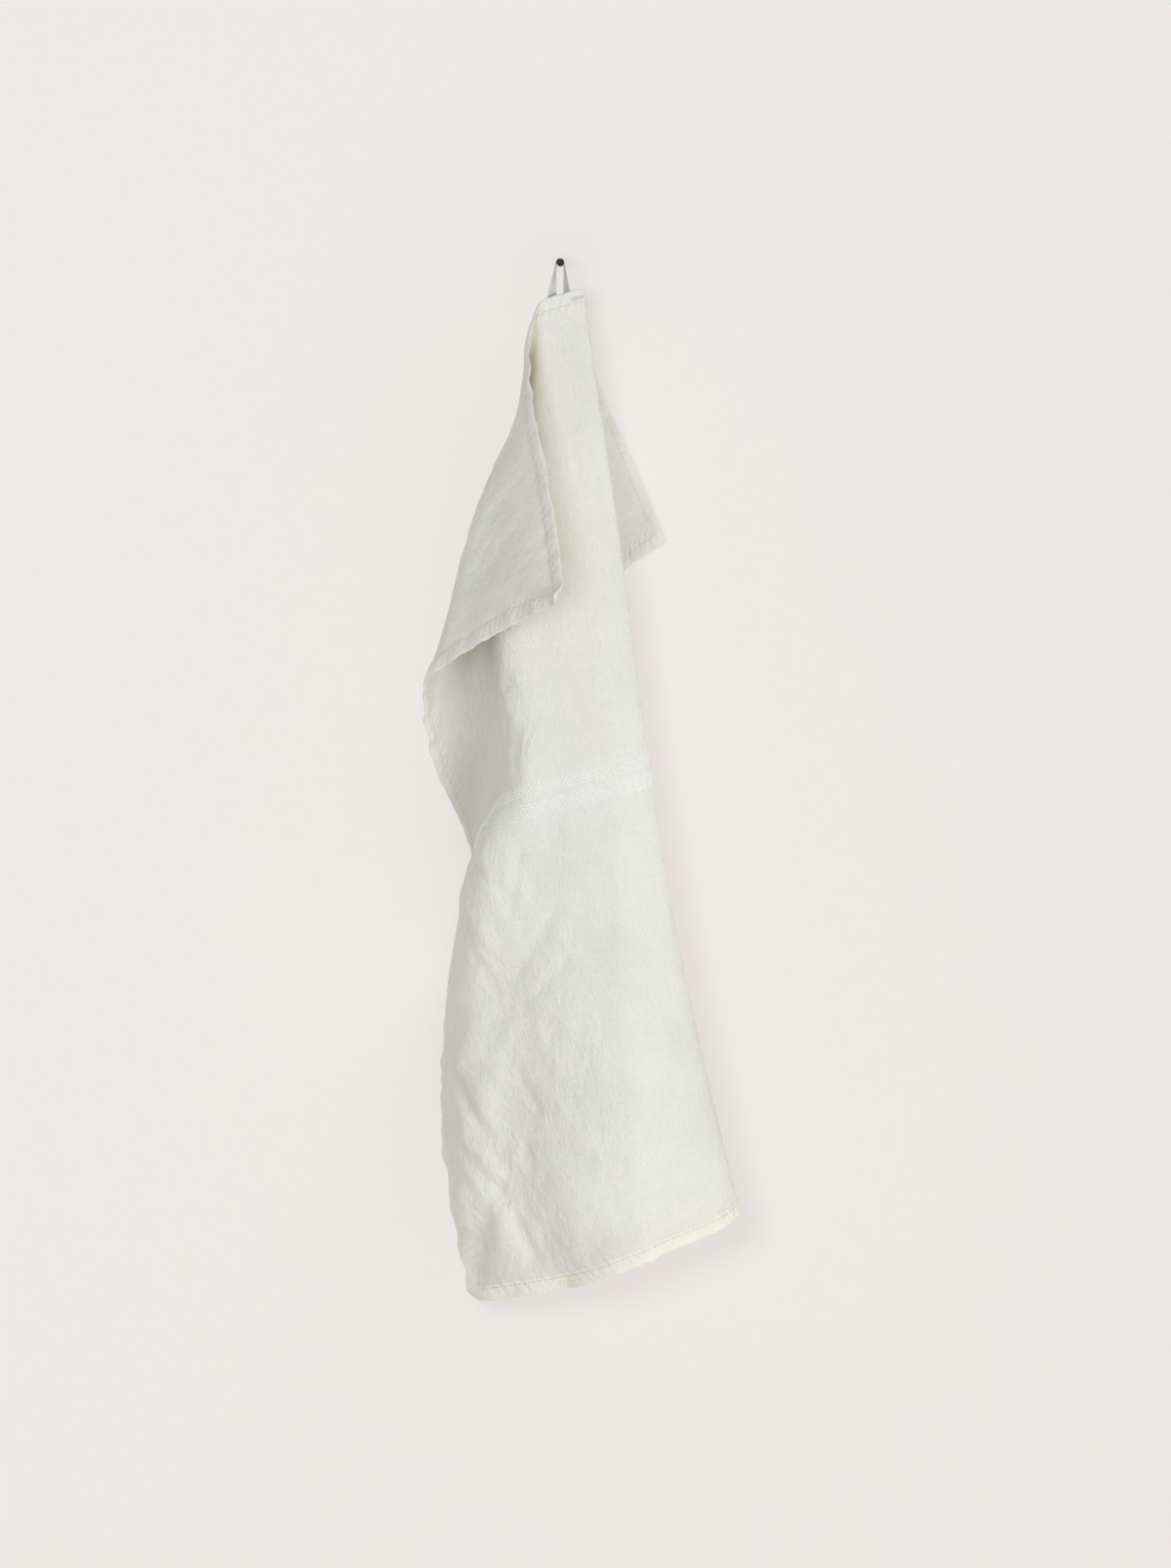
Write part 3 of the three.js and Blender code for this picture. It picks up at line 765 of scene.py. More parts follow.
def hem_run(start, end):
    """Starts and ends of the stitches on one straight run of the flat hem."""
    start, end = np.array(start, float), np.array(end, float)
    count = int(np.linalg.norm(end - start) / STITCH_PITCH)
    way = (end - start) / np.linalg.norm(end - start)
    first = start + way * np.arange(count)[:, None] * STITCH_PITCH
    return first, first + way * STITCH_LENGTH


stitch_corners = [
    (-inner_across, STITCH_LINE),
    (inner_across, STITCH_LINE),
    (inner_across, LENGTH - STITCH_LINE),
    (-inner_across, LENGTH - STITCH_LINE),
]
hem_runs = [hem_run(stitch_corners[k], stitch_corners[(k + 1) % 4]) for k in range(4)]
TACK_LEFT, TACK_RIGHT, TACK_TOP, TACK_BOTTOM, TACK_STEPS = 7.0, 18.0, 4.6, 8.4, 12
tack_across = np.linspace(TACK_LEFT, TACK_RIGHT, TACK_STEPS + 1)
tack_down = np.where(np.arange(TACK_STEPS + 1) % 2 == 0, TACK_TOP, TACK_BOTTOM)
tack = np.stack((tack_across, tack_down), axis=-1)
flat_starts = np.concatenate([run[0] for run in hem_runs] + [tack[:-1]])
flat_ends = np.concatenate([run[1] for run in hem_runs] + [tack[1:]])
both_faces = []
for side in (1, -1):
    start_points, start_normals = on_cloth(flat_starts[:, 0], flat_starts[:, 1], side)
    end_points, end_normals = on_cloth(flat_ends[:, 0], flat_ends[:, 1], side)
    both_faces.append((start_points, end_points, start_normals + end_normals))
starts, ends, normals = (np.concatenate(parts) for parts in zip(*both_faces))
hem_stitching = threads("hem_stitching", starts, ends, normals, STITCH_WIDE, STITCH_HIGH, 0.35)

# %% [markdown]
# ## The woven band
# Two stripes cross the towel at half its length. In each stripe thicker white threads float over the ground
# weave in short slanting dashes, row after row. They catch the light, so they are built as real threads on the
# right side and not only painted.

# %% Floats of the woven band
FLOAT_PITCH = 3.3
FLOAT_LENGTH = 2.3
FLOAT_SLANT = 0.65
FLOAT_WIDE = 0.85
FLOAT_HIGH = 1.0
UPPER_ROWS = (339.2, 341.4, 343.6, 345.8)
LOWER_ROWS = (352.4, 354.6, 356.8, 359.0, 361.2)
band_starts, band_ends = [], []
for rows_of_stripe, rise in ((UPPER_ROWS, FLOAT_SLANT), (LOWER_ROWS, -FLOAT_SLANT)):
    for k, down in enumerate(rows_of_stripe):
        shift = FLOAT_PITCH * (k % 3) / 3
        across = np.arange(
            -HALF_WIDTH + HEM_WIDTH + 1 + shift, HALF_WIDTH - HEM_WIDTH - FLOAT_LENGTH - 1, FLOAT_PITCH
        )
        band_starts.append(np.stack((across, np.full_like(across, down + rise)), axis=-1))
        band_ends.append(np.stack((across + FLOAT_LENGTH, np.full_like(across, down - rise)), axis=-1))
band_starts, band_ends = np.concatenate(band_starts), np.concatenate(band_ends)
start_points, start_normals = on_cloth(band_starts[:, 0], band_starts[:, 1])
end_points, end_normals = on_cloth(band_ends[:, 0], band_ends[:, 1])
band_floats = threads(
    "band_floats", start_points, end_points, start_normals + end_normals, FLOAT_WIDE, FLOAT_HIGH, 0.45
)

# %% [markdown]
# ## The loop of tape
# The loop is a narrow woven tape, folded over the peg, with both ends sewn behind the top hem. Its middle line
# runs through the same places as in the model, and a flat section with thicker edges is swept along it.

# %% The tape's middle line
LOOP_DEPTH = -80.0
SHAFT_RADIUS = 2.1
CLEARANCE = 0.35
MODEL_THICKNESS = 1.0
TAPE_WIDTH = 7.8
TAPE_THICKNESS = 0.8
LOOP_RADIUS = SHAFT_RADIUS + CLEARANCE + MODEL_THICKNESS / 2


def place(x, y, z, turned):
    """A place of the middle line, and how far the tape is turned there to face the front, in degrees."""
    return (x, LOOP_DEPTH + y, z, turned)


def over_peg(angle):
    """A place above the peg's shaft, by its angle from the left."""
    a = math.radians(angle)
    return place(-LOOP_RADIUS * math.cos(a), 0, LOOP_RADIUS * math.sin(a), 0)


LOOP_PLACES = np.array([
    place(-6.4, 3.0, -33.5, 90),
    place(-6.3, 3.4, -29, 82),
    place(-6.0, 5.2, -24, 54),
    place(-5.2, 3.0, -17, 36),
    place(-4.2, 1.0, -9, 18),
    place(-3.2, 0.1, -3, 8),
    over_peg(15),
    over_peg(55),
    over_peg(90),
    over_peg(125),
    over_peg(165),
    place(3.2, 0.1, -3, -6),
    place(3.9, 0.9, -8, -14),
    place(4.4, 3.2, -14.5, -26),
    place(4.9, 5.7, -20.5, -40),
    place(5.2, 3.9, -26.5, -80),
    place(5.4, 3.1, -31.5, -90),
])


def weighted(a, b, low, high, t):
    """The mean of a and b with the weights that t has between low and high."""
    return a * (high - t) / (high - low) + b * (t - low) / (high - low)


def smooth_route(places, steps):
    """A Catmull-Rom curve through the places, with knots that follow their spacing."""
    padded = np.concatenate(([2 * places[0] - places[1]], places, [2 * places[-1] - places[-2]]))
    gaps = np.sqrt(np.linalg.norm(np.diff(padded[:, :3], axis=0), axis=1))
    times = np.concatenate(([0], np.cumsum(gaps)))
    route = []
    for k in range(1, len(padded) - 2):
        p, when = padded[k - 1 : k + 3], times[k - 1 : k + 3]
        for t in np.linspace(when[1], when[2], steps, endpoint=False):
            first, second, third = (weighted(p[j], p[j + 1], when[j], when[j + 1], t) for j in range(3))
            before = weighted(first, second, when[0], when[2], t)
            after = weighted(second, third, when[1], when[3], t)
            route.append(weighted(before, after, when[1], when[2], t))
    return np.array(route + [places[-1]])


ROUTE_STEPS = 12
route = smooth_route(LOOP_PLACES, ROUTE_STEPS)
tape_steps = np.linalg.norm(np.diff(route[:, :3], axis=0), axis=1)
print("length of the tape in mm:", round(float(tape_steps.sum()), 1))

# %% Sweep the tape
SECTION_POINTS = 24
SELVEDGE = 0.22
line, turned = route[:, :3], np.radians(route[:, 3])
along = np.gradient(line, axis=0)
along /= np.linalg.norm(along, axis=1, keepdims=True)
wide_way = np.stack((np.sin(turned), np.cos(turned), np.zeros_like(turned)), axis=-1)
wide_way -= along * np.sum(wide_way * along, axis=1, keepdims=True)
wide_way /= np.linalg.norm(wide_way, axis=1, keepdims=True)
thick_way = np.cross(along, wide_way)
angle = np.arange(SECTION_POINTS) / SECTION_POINTS * 2 * math.pi
section_wide = np.sign(np.cos(angle)) * np.abs(np.cos(angle)) ** 0.7
selvedge = 1 + SELVEDGE * np.exp(-(((np.abs(section_wide) - 0.86) / 0.08) ** 2))
section_thick = np.sign(np.sin(angle)) * np.abs(np.sin(angle)) ** 0.5 * selvedge
tape_points = (
    line[:, None]
    + wide_way[:, None] * (section_wide * TAPE_WIDTH / 2)[None, :, None]
    + thick_way[:, None] * (section_thick * TAPE_THICKNESS / 2)[None, :, None]
)
rings, around = tape_points.shape[:2]
index = np.arange(rings * around).reshape(rings, around)
ahead = np.roll(index, -1, axis=1)
tape_quads = np.stack((index[:-1], ahead[:-1], ahead[1:], index[1:]), axis=-1).reshape(-1, 4)
caps = [index[0, ::-1].tolist(), index[-1].tolist()]
loop_tape = make_piece("loop_tape", tape_points, tape_quads.tolist() + caps)

# %% [markdown]
# ## Building materials with nodes
# All finishes are made from nodes. Small helpers keep that readable: one adds a node and fills its inputs, one
# does a step of arithmetic, and others give noise and relief. Effects that more than one material needs are
# groups, so the weave of the cloth and the weave of the tape are the same recipe with other values.


# %% Helpers for nodes
def add_node(tree, kind, settings=None, inputs=None):
    """A new node with its settings, its inputs set or linked."""
    node = tree.nodes.new(kind)
    for key, value in (settings or {}).items():
        setattr(node, key, value)
    for key, value in (inputs or {}).items():
        if isinstance(value, bpy.types.NodeSocket):
            tree.links.new(value, node.inputs[key])
        else:
            node.inputs[key].default_value = value
    return node


def calc(tree, operation, *values):
    """One step of arithmetic, as the output of a Math node."""
    node = add_node(tree, "ShaderNodeMath", {"operation": operation}, dict(enumerate(values)))
    return node.outputs[0]


def fade(tree, value, low, high):
    """0 where value is low and 1 where it is high, smoothly between."""
    inputs = {"Value": value, "From Min": low, "From Max": high}
    node = add_node(tree, "ShaderNodeMapRange", {"interpolation_type": "SMOOTHSTEP"}, inputs)
    return node.outputs["Result"]


def blend_colours(tree, factor, first, second):
    """The first colour where the factor is 0, and the second where it is 1."""
    node = add_node(tree, "ShaderNodeMix", {"data_type": "RGBA"}, {0: factor, 6: first, 7: second})
    return node.outputs[2]


def join_parts(tree, x, y, z):
    """A vector from three values."""
    return add_node(tree, "ShaderNodeCombineXYZ", None, {0: x, 1: y, 2: z}).outputs[0]


def place_on(tree):
    """The place of the surface in the piece's own coordinates, in metres."""
    return add_node(tree, "ShaderNodeTexCoord").outputs["Object"]


def cloudy(tree, where, scale, detail, distortion=0.0):
    """Soft noise around 0.5."""
    inputs = {"Vector": where, "Scale": scale, "Detail": detail, "Distortion": distortion}
    return add_node(tree, "ShaderNodeTexNoise", None, inputs).outputs[0]


def raised(tree, height, distance, below=None, strength=1.0):
    """A normal that shows heights as relief, on top of the relief below it."""
    inputs = {"Height": height, "Strength": strength, "Distance": distance}
    if below is not None:
        inputs["Normal"] = below
    return add_node(tree, "ShaderNodeBump", None, inputs).outputs[0]


def new_group(name, sockets_in, sockets_out):
    """An empty node group with named inputs and outputs."""
    group = bpy.data.node_groups.new(name, "ShaderNodeTree")
    for label, kind, value in sockets_in:
        socket = group.interface.new_socket(label, in_out="INPUT", socket_type=kind)
        socket.default_value = value
    for label, kind in sockets_out:
        group.interface.new_socket(label, in_out="OUTPUT", socket_type=kind)
    return group, group.nodes.new("NodeGroupInput").outputs, group.nodes.new("NodeGroupOutput").inputs


def use_group(tree, group, inputs):
    """A group placed in a material with its own values, as its outputs."""
    return add_node(tree, "ShaderNodeGroup", {"node_tree": group}, inputs).outputs


def new_material(name, values):
    """A material whose Principled shader has the values that are the same all over it."""
    material = bpy.data.materials.new(name)
    material.use_nodes = True
    shader = material.node_tree.nodes["Principled BSDF"]
    for key, value in values.items():
        shader.inputs[key].default_value = value
    return material, material.node_tree, shader


print("node helpers are ready")

# %% [markdown]
# ## Plain weave
# Linen is a plain weave: each thread goes over one and under the next, which gives a fine checked relief.
# Linen yarn is uneven, so some threads swell into slubs for a few centimetres. The group takes a place in mm
# and gives the height of the threads and a mask of the thick ones. Image textures could do this too, but the
# towel's own coordinates keep the threads straight along the cloth through every fold.

# %% Group: plain weave
FLOAT, VECTOR, COLOUR = "NodeSocketFloat", "NodeSocketVector", "NodeSocketColor"
weave_group, given, result = new_group(
    "plain weave",
    [
        ("Across", FLOAT, 0.0),
        ("Down", FLOAT, 0.0),
        ("Thread pitch", FLOAT, 0.9),
        ("Slub length", FLOAT, 26.0),
    ],
    [("Height", FLOAT), ("Thick threads", FLOAT)],
)
thread_across, thread_down, long_across, long_down = (
    calc(weave_group, "DIVIDE", given[way], given[size])
    for size in ("Thread pitch", "Slub length")
    for way in ("Across", "Down")
)
slubs = []
for x, y, lift_out in ((thread_across, long_down, 3.0), (long_across, thread_down, 9.0)):
    grain = cloudy(weave_group, join_parts(weave_group, x, y, lift_out), 0.8, 1.0)
    slubs.append(fade(weave_group, grain, 0.56, 0.74))
waves = [
    calc(weave_group, "ABSOLUTE", calc(weave_group, "SINE", calc(weave_group, "MULTIPLY", value, math.pi)))
    for value in (thread_across, thread_down)
]
checks = calc(weave_group, "MULTIPLY", *waves)
thick = calc(weave_group, "MAXIMUM", *slubs)
weave_group.links.new(calc(weave_group, "MULTIPLY_ADD", thick, 0.8, checks), result["Height"])
weave_group.links.new(thick, result["Thick threads"])
print("group:", weave_group.name, "nodes:", len(weave_group.nodes))

# %% [markdown]
# ## Uneven tone
# No washed cloth, thread or tape has one even colour. The group darkens a colour a little in soft clouds. The
# clouds could be painted, but noise needs no image and has a size in each material.

# %% Group: uneven tone
tone_group, given, result = new_group(
    "uneven tone",
    [
        ("Place", VECTOR, (0, 0, 0)),
        ("Size", FLOAT, 20.0),
        ("Strength", FLOAT, 0.1),
        ("Colour", COLOUR, (1, 1, 1, 1)),
    ],
    [("Colour", COLOUR)],
)
clouds = fade(tone_group, cloudy(tone_group, given["Place"], given["Size"], 4.0), 0.35, 0.7)
bright = calc(tone_group, "SUBTRACT", 1.0, calc(tone_group, "MULTIPLY", clouds, given["Strength"]))
scaled = add_node(
    tone_group, "ShaderNodeVectorMath", {"operation": "SCALE"}, {0: given["Colour"], "Scale": bright}
)
tone_group.links.new(scaled.outputs[0], result["Colour"])
print("group:", tone_group.name, "nodes:", len(tone_group.nodes))

# %% [markdown]
# ## Small creases
# Crushed cloth also keeps creases that are finer than the mesh. The group draws them as a height: where smooth
# noise passes its middle value, the distance from that value has a sharp crease. The noise is stretched along
# a slant, so the facets are slender. A real mesh of them would need millions of triangles.

# %% Group: small creases
crease_group, given, result = new_group(
    "small creases",
    [
        ("Across", FLOAT, 0.0),
        ("Down", FLOAT, 0.0),
        ("Width", FLOAT, 8.0),
        ("Length", FLOAT, 24.0),
        ("Slant", FLOAT, 0.4),
        ("Seed", FLOAT, 0.0),
    ],
    [("Height", FLOAT)],
)
sine = calc(crease_group, "SINE", given["Slant"])
cosine = calc(crease_group, "COSINE", given["Slant"])
across_sine, across_cosine, down_sine, down_cosine = (
    calc(crease_group, "MULTIPLY", given[way], part) for way in ("Across", "Down") for part in (sine, cosine)
)
slanted_place = join_parts(
    crease_group,
    calc(crease_group, "DIVIDE", calc(crease_group, "ADD", across_cosine, down_sine), given["Width"]),
    calc(crease_group, "DIVIDE", calc(crease_group, "SUBTRACT", down_cosine, across_sine), given["Length"]),
    given["Seed"],
)
from_middle = calc(crease_group, "SUBTRACT", cloudy(crease_group, slanted_place, 1.0, 1.0, 0.3), 0.5)
facets = calc(crease_group, "SUBTRACT", 0.2, calc(crease_group, "ABSOLUTE", from_middle))
crease_group.links.new(facets, result["Height"])
print("group:", crease_group.name, "nodes:", len(crease_group.nodes))

# %% [markdown]
# ## Linen
# The cloth is off-white linen that has been washed many times. It is matt, lets a little light through, and is
# slightly yellower where the hems lie double. The hems are also lighter towards the bottom, which is painted
# light, and a few soft places carry painted warm shade: beside the flap's edge and near the bottom hem's left
# part.
# The band's ground is whiter than the rest. Masks come from the flat coordinates, so the edges of the hems and
# the band stay sharp however coarse the mesh is.

# %% Linen: colours and places
LINEN_COLOUR = (0.83, 0.805, 0.735, 1)
# The hems' colour: the double cloth's yellower tone, and painted light that makes the hems lighter.
HEM_TONE_AND_LIGHT_COLOUR = (0.94, 0.91, 0.80, 1)
SLUB_COLOUR = (0.88, 0.86, 0.80, 1)
BAND_COLOUR = (0.94, 0.94, 0.90, 1)
BAND_STRIPES = ((338.2, 346.8), (351.4, 362.2))
# Painted warm shade beside the flap's edge, where the flap shades the panel, and near the bottom hem's left
# part.
PAINTED_WARM_SHADE_COLOUR = (0.84, 0.78, 0.62, 1)
PAINTED_WARM_SHADE_PLACES = [
    spot(-34, 50, 16, 50, 0.45),
    spot(-48, 150, 12, 90, 0.45),
    spot(-64, 270, 11, 70, 0.3),
    spot(-90, 690, 60, 14, 0.3),
]
# Painted light: the hems' tint grows towards the bottom, so the bottom hem is painted lighter.
HEM_TINT_FROM, HEM_TINT_TO = 560.0, 680.0
HEM_TINT_TOP, HEM_TINT_BOTTOM = 0.2, 0.85
print("band's ground from", BAND_STRIPES[0][0], "to", BAND_STRIPES[1][1], "mm down")

# %% Linen: the flat towel's coordinates
linen, tree, shader = new_material(
    "linen",
    {
        "Roughness": 0.88,
        "Specular IOR Level": 0.25,
        "Sheen Weight": 0.12,
        "Sheen Roughness": 0.5,
        "Subsurface Weight": 0.1,
        "Subsurface Radius": (0.0015, 0.0012, 0.0007),
        "Subsurface Scale": 1.0,
    },
)
flat_place = add_node(tree, "ShaderNodeUVMap", {"uv_map": "flat_cloth"}).outputs[0]
flat_parts = add_node(tree, "ShaderNodeSeparateXYZ", None, {0: flat_place}).outputs
across = calc(tree, "MULTIPLY", calc(tree, "SUBTRACT", flat_parts[0], 0.5), 2.0 * HALF_WIDTH)
down = calc(tree, "MULTIPLY", calc(tree, "SUBTRACT", 1.0, flat_parts[1]), float(LENGTH))
from_side = calc(tree, "SUBTRACT", float(HALF_WIDTH), calc(tree, "ABSOLUTE", across))
from_end = calc(tree, "MINIMUM", down, calc(tree, "SUBTRACT", float(LENGTH), down))
from_edge = calc(tree, "MINIMUM", from_side, from_end)


def strength_at(places, least):
    """The greatest strength of the soft spots of a table, and never less than least."""
    strongest = least
    for place in places:
        aside = calc(tree, "DIVIDE", calc(tree, "SUBTRACT", across, place["across"]), place["wide"])
        below = calc(tree, "DIVIDE", calc(tree, "SUBTRACT", down, place["down"]), place["tall"])
        reach = calc(tree, "MULTIPLY_ADD", aside, aside, calc(tree, "MULTIPLY", below, below))
        near = calc(tree, "MULTIPLY", calc(tree, "POWER", 1 / math.e, reach), place["strength"])
        strongest = calc(tree, "MAXIMUM", near, strongest)
    return strongest


print("nodes for the flat coordinates:", len(tree.nodes))

# %% Linen: colour
in_hem = fade(tree, from_edge, HEM_WIDTH + 0.8, HEM_WIDTH - 0.4)
in_band = 0.0
for low, high in BAND_STRIPES:
    stripe = calc(tree, "MULTIPLY", fade(tree, down, low - 0.4, low), fade(tree, down, high + 0.4, high))
    in_band = calc(tree, "ADD", stripe, in_band)
weave = use_group(
    tree, weave_group, {"Across": across, "Down": down, "Thread pitch": 0.9, "Slub length": 26.0}
)
colour = blend_colours(tree, calc(tree, "MULTIPLY", weave["Thick threads"], 0.5), LINEN_COLOUR, SLUB_COLOUR)
# The hems' tone, with painted light that grows towards the bottom hem.
lower_hem_light = fade(tree, down, HEM_TINT_FROM, HEM_TINT_TO)
hem_tint_and_light = calc(tree, "MULTIPLY_ADD", lower_hem_light, HEM_TINT_BOTTOM - HEM_TINT_TOP, HEM_TINT_TOP)
colour = blend_colours(tree, calc(tree, "MULTIPLY", in_hem, hem_tint_and_light), colour, HEM_TONE_AND_LIGHT_COLOUR)
colour = blend_colours(tree, calc(tree, "MULTIPLY", in_band, 0.15), colour, BAND_COLOUR)
# Painted warm shade in the soft places of its table.
colour = blend_colours(tree, strength_at(PAINTED_WARM_SHADE_PLACES, 0.0), colour, PAINTED_WARM_SHADE_COLOUR)
toned = use_group(
    tree, tone_group, {"Place": place_on(tree), "Size": 14.0, "Strength": 0.06, "Colour": colour}
)
tree.links.new(toned[0], shader.inputs["Base Color"])
print("linen nodes with its colour:", len(tree.nodes))

# %% Linen: small creases and streaks
CREASE_SETS = (
    (12.0, 34.0, 0.38, 3.0),
    (8.0, 26.0, -0.42, 11.0),
    (5.0, 15.0, 0.3, 19.0),
)
CREASE_RELIEF = 0.00022
STREAK_WIDE, STREAK_LONG, STREAK_RELIEF = 1.1, 8.0, 0.0005
creases = 0.0
for width, length, slant, seed in CREASE_SETS:
    values = {"Across": across, "Down": down, "Width": width, "Length": length, "Slant": slant, "Seed": seed}
    creases = calc(tree, "MULTIPLY_ADD", use_group(tree, crease_group, values)["Height"], width, creases)
creases = calc(tree, "MULTIPLY", creases, strength_at(CRUMPLED_PLACES, 0.1))
streak_place = join_parts(
    tree, calc(tree, "DIVIDE", across, STREAK_WIDE), calc(tree, "DIVIDE", down, STREAK_LONG), 5.0
)
creased = raised(tree, creases, CREASE_RELIEF)
streaked = raised(tree, cloudy(tree, streak_place, 1.0, 2.0), STREAK_RELIEF, creased)
print("linen nodes with its creases:", len(tree.nodes))

# %% Linen: relief of threads and hem puckers
PUCKER_LENGTH, PUCKER_RELIEF = 6.5, 0.0002
THREAD_RELIEF = 0.00011
near_stitch = calc(tree, "ABSOLUTE", calc(tree, "SUBTRACT", from_edge, STITCH_LINE))
pucker_reach = fade(tree, near_stitch, 8.5, 1.0)
end_is_nearer = calc(tree, "LESS_THAN", from_end, from_side)
along_hem = add_node(tree, "ShaderNodeMix", None, {0: end_is_nearer, 2: down, 3: across}).outputs[0]
slanted = calc(tree, "MULTIPLY_ADD", from_edge, 0.5, along_hem)
turns = calc(tree, "MULTIPLY", slanted, 2 * math.pi / PUCKER_LENGTH)
phase = calc(tree, "MULTIPLY_ADD", cloudy(tree, flat_place, 30.0, 2.0), 9.0, turns)
puckers = calc(tree, "MULTIPLY", calc(tree, "SINE", phase), pucker_reach)
puckered = raised(tree, puckers, PUCKER_RELIEF, streaked)
woven = raised(tree, weave["Height"], THREAD_RELIEF, puckered)
tree.links.new(woven, shader.inputs["Normal"])
print("linen nodes:", len(tree.nodes))

# %% [markdown]
# ## Tape, thread and black metal
# The tape is a little greyer and closer woven than the cloth, and the sewing thread is tan, so the bar tack
# shows against the hem. The peg is steel with a satin black coat that has the faint orange peel of powder.

# %% Material: tape
TAPE_COLOUR = (0.70, 0.71, 0.68, 1)
MM_IN_METRE = 1000.0
tape, tree, shader = new_material(
    "tape", {"Roughness": 0.8, "Specular IOR Level": 0.3, "Sheen Weight": 0.1}
)
place_mm = add_node(
    tree, "ShaderNodeVectorMath", {"operation": "SCALE"}, {0: place_on(tree), "Scale": MM_IN_METRE}
)
parts = add_node(tree, "ShaderNodeSeparateXYZ", None, {0: place_mm.outputs[0]}).outputs
tape_weave = use_group(
    tree, weave_group, {"Across": parts[1], "Down": parts[2], "Thread pitch": 0.6, "Slub length": 9.0}
)
tape_tone = use_group(
    tree, tone_group, {"Place": place_on(tree), "Size": 90.0, "Strength": 0.1, "Colour": TAPE_COLOUR}
)
tree.links.new(tape_tone[0], shader.inputs["Base Color"])
tree.links.new(raised(tree, tape_weave["Height"], 0.00012), shader.inputs["Normal"])
print("tape nodes:", len(tree.nodes))

# %% Material: thread
THREAD_COLOUR = (0.74, 0.69, 0.55, 1)


def twisted_thread(name, base, roughness):
    """Cotton thread: slanting twist lines in the relief, and a slightly uneven tone."""
    material, tree, shader = new_material(name, {"Roughness": roughness, "Specular IOR Level": 0.4})
    where = place_on(tree)
    tone = use_group(tree, tone_group, {"Place": where, "Size": 200.0, "Strength": 0.08, "Colour": base})
    tree.links.new(tone[0], shader.inputs["Base Color"])
    inputs = {"Vector": where, "Scale": 900.0, "Distortion": 1.0}
    twist = add_node(tree, "ShaderNodeTexWave", {"bands_direction": "DIAGONAL"}, inputs)
    tree.links.new(raised(tree, twist.outputs[1], 0.0001, strength=0.6), shader.inputs["Normal"])
    return material


sewing_thread = twisted_thread("sewing thread", THREAD_COLOUR, 0.75)
band_thread = twisted_thread("band thread", BAND_COLOUR, 0.5)
print("threads:", sewing_thread.name, "and", band_thread.name)

# %% Material: black metal
BLACK, WORN_BLACK = (0.004, 0.004, 0.004, 1), (0.010, 0.009, 0.008, 1)
black_metal, tree, shader = new_material(
    "black metal", {"Roughness": 0.4, "Specular IOR Level": 0.3, "Coat Weight": 0.1, "Coat Roughness": 0.2}
)
where = place_on(tree)
worn = cloudy(tree, where, 260.0, 4.0)
black = blend_colours(tree, fade(tree, worn, 0.45, 0.7), BLACK, WORN_BLACK)
tree.links.new(black, shader.inputs["Base Color"])
tree.links.new(calc(tree, "MULTIPLY_ADD", worn, 0.25, 0.33), shader.inputs["Roughness"])
peel = raised(tree, cloudy(tree, where, 1800.0, 2.0), 0.00005, strength=0.5)
tree.links.new(peel, shader.inputs["Normal"])
print("black metal nodes:", len(tree.nodes))

# %% Give each piece its material
for piece, material in (
    (towel_cloth, linen),
    (hem_stitching, sewing_thread),
    (band_floats, band_thread),
    (loop_tape, tape),
):
    piece.data.materials.append(material)
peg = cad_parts["hook"]
for slot in peg.material_slots:
    slot.material = black_metal
print("the peg has", len(peg.material_slots), "material slots")

# %% [markdown]
# ## Wall, floor and light
# The wall is only a backdrop. It is seen from its front alone: its back is clear, so the towel can also be
# looked at from behind. It glows faintly, which keeps it pale and even, as a wide soft studio does.
# A broad key light from the right and below models the cloth, and a weaker side light from the left keeps the
# flap from going dark. Both are kept to the towel and the peg by light linking. A third light near the camera
# is kept to the wall and the floor, so the towel's shadow stays close beside it.

# %% Wall and floor
WALL_GAP = 0.0006
FLOOR_LEVEL = -1.30
HALF_SPAN = 5
WALL_TOP = 4


def stage_plane(name, corner_places, material):
    """A flat backdrop that is not part of the towel."""
    mesh = bpy.data.meshes.new(name)
    mesh.from_pydata(corner_places, [], [(0, 1, 2, 3)])
    mesh.materials.append(material)
    plane = bpy.data.objects.new(name, mesh)
    bpy.context.scene.collection.objects.link(plane)
    return plane


plaster, tree, shader = new_material(
    "plaster",
    {
        "Base Color": (0.62, 0.60, 0.58, 1),
        "Roughness": 0.95,
        "Emission Color": (1.0, 0.955, 0.925, 1),
        "Emission Strength": 0.46,
    },
)
facing = add_node(tree, "ShaderNodeNewGeometry").outputs["Backfacing"]
clear = add_node(tree, "ShaderNodeBsdfTransparent").outputs[0]
one_sided = add_node(tree, "ShaderNodeMixShader", None, {0: facing, 1: shader.outputs[0], 2: clear})
tree.links.new(one_sided.outputs[0], tree.nodes["Material Output"].inputs["Surface"])
pale_floor, _, _ = new_material("pale floor", {"Base Color": (0.80, 0.78, 0.75, 1), "Roughness": 0.9})
upright = [(-HALF_SPAN, -WALL_TOP), (HALF_SPAN, -WALL_TOP), (HALF_SPAN, WALL_TOP), (-HALF_SPAN, WALL_TOP)]
level = [(-HALF_SPAN, -HALF_SPAN), (HALF_SPAN, -HALF_SPAN), (HALF_SPAN, HALF_SPAN), (-HALF_SPAN, HALF_SPAN)]
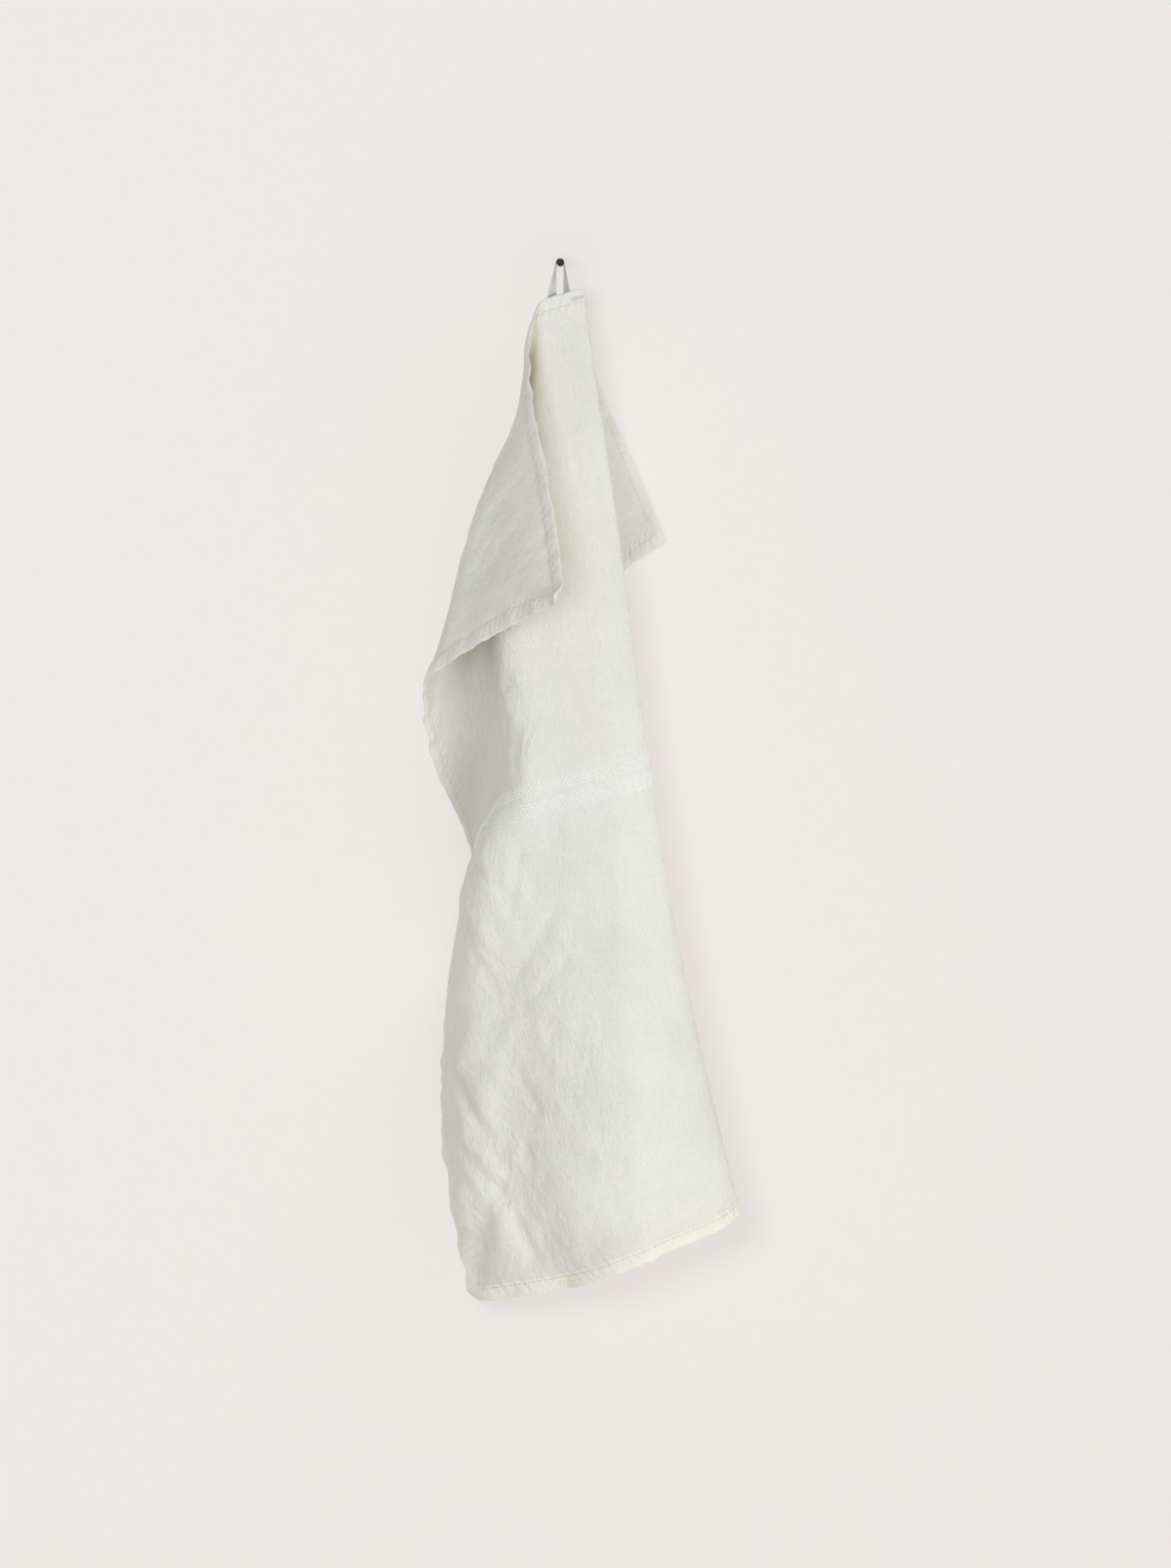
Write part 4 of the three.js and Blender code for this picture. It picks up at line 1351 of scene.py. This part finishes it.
wall = stage_plane("wall", [(x, WALL_GAP, z) for x, z in upright], plaster)
floor = stage_plane("floor", [(x, y, FLOOR_LEVEL) for x, y in level], pale_floor)
print("stage:", wall.name, "and", floor.name)


# %% Lights
def soft_light(name, where, size, power, colour):
    """A round area light that is aimed at the middle of the towel."""
    data = bpy.data.lights.new(name, "AREA")
    data.shape = "DISK"
    data.size = size
    data.energy = power
    data.color = colour
    light = bpy.data.objects.new(name, data)
    light.location = where
    light.rotation_euler = (AIM - Vector(where)).to_track_quat("-Z", "Y").to_euler()
    bpy.context.scene.collection.objects.link(light)
    return light


def lit_only(light, name, pieces):
    """Keeps a light to some of the pieces, while everything still casts its shadow."""
    group = bpy.data.collections.new(name)
    for piece in pieces:
        group.objects.link(piece)
    light.light_linking.receiver_collection = group


key_light = soft_light("key light", (3.0, -4.2, -1.2), 2.4, 210, (0.93, 0.96, 1.0))
side_light = soft_light("side light", (-0.75, -3.4, -0.25), 1.5, 27, (0.93, 0.96, 1.0))
wall_light = soft_light("wall light", (-0.46, -4.0, 0.10), 0.7, 25, (0.97, 1.0, 0.98))
for light in (key_light, side_light):
    lit_only(light, "lit by the " + light.name, [towel_cloth, hem_stitching, band_floats, loop_tape, peg])
lit_only(wall_light, "lit by the wall light", [wall, floor])
print("lights:", [light.name for light in (key_light, side_light, wall_light)])

# %% Surroundings
world = bpy.data.worlds.new("pale studio")
world.use_nodes = True
background = world.node_tree.nodes["Background"].inputs
background["Color"].default_value = (0.93, 0.965, 1.0, 1)
background["Strength"].default_value = 0.46
bpy.context.scene.world = world
bpy.context.scene.view_settings.view_transform = "Standard"
print("surroundings:", world.name)

# %% Attach everything to the frame
for piece, node, slot_name in (
    (towel_cloth, "towel", "linen"),
    (loop_tape, "hanging_loop", "tape"),
    (hem_stitching, None, "linen"),
    (band_floats, None, "linen"),
):
    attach(piece, "root")
    if node:
        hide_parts(node)
print("pieces of the towel:", [piece.name for piece in (towel_cloth, loop_tape, hem_stitching, band_floats)])
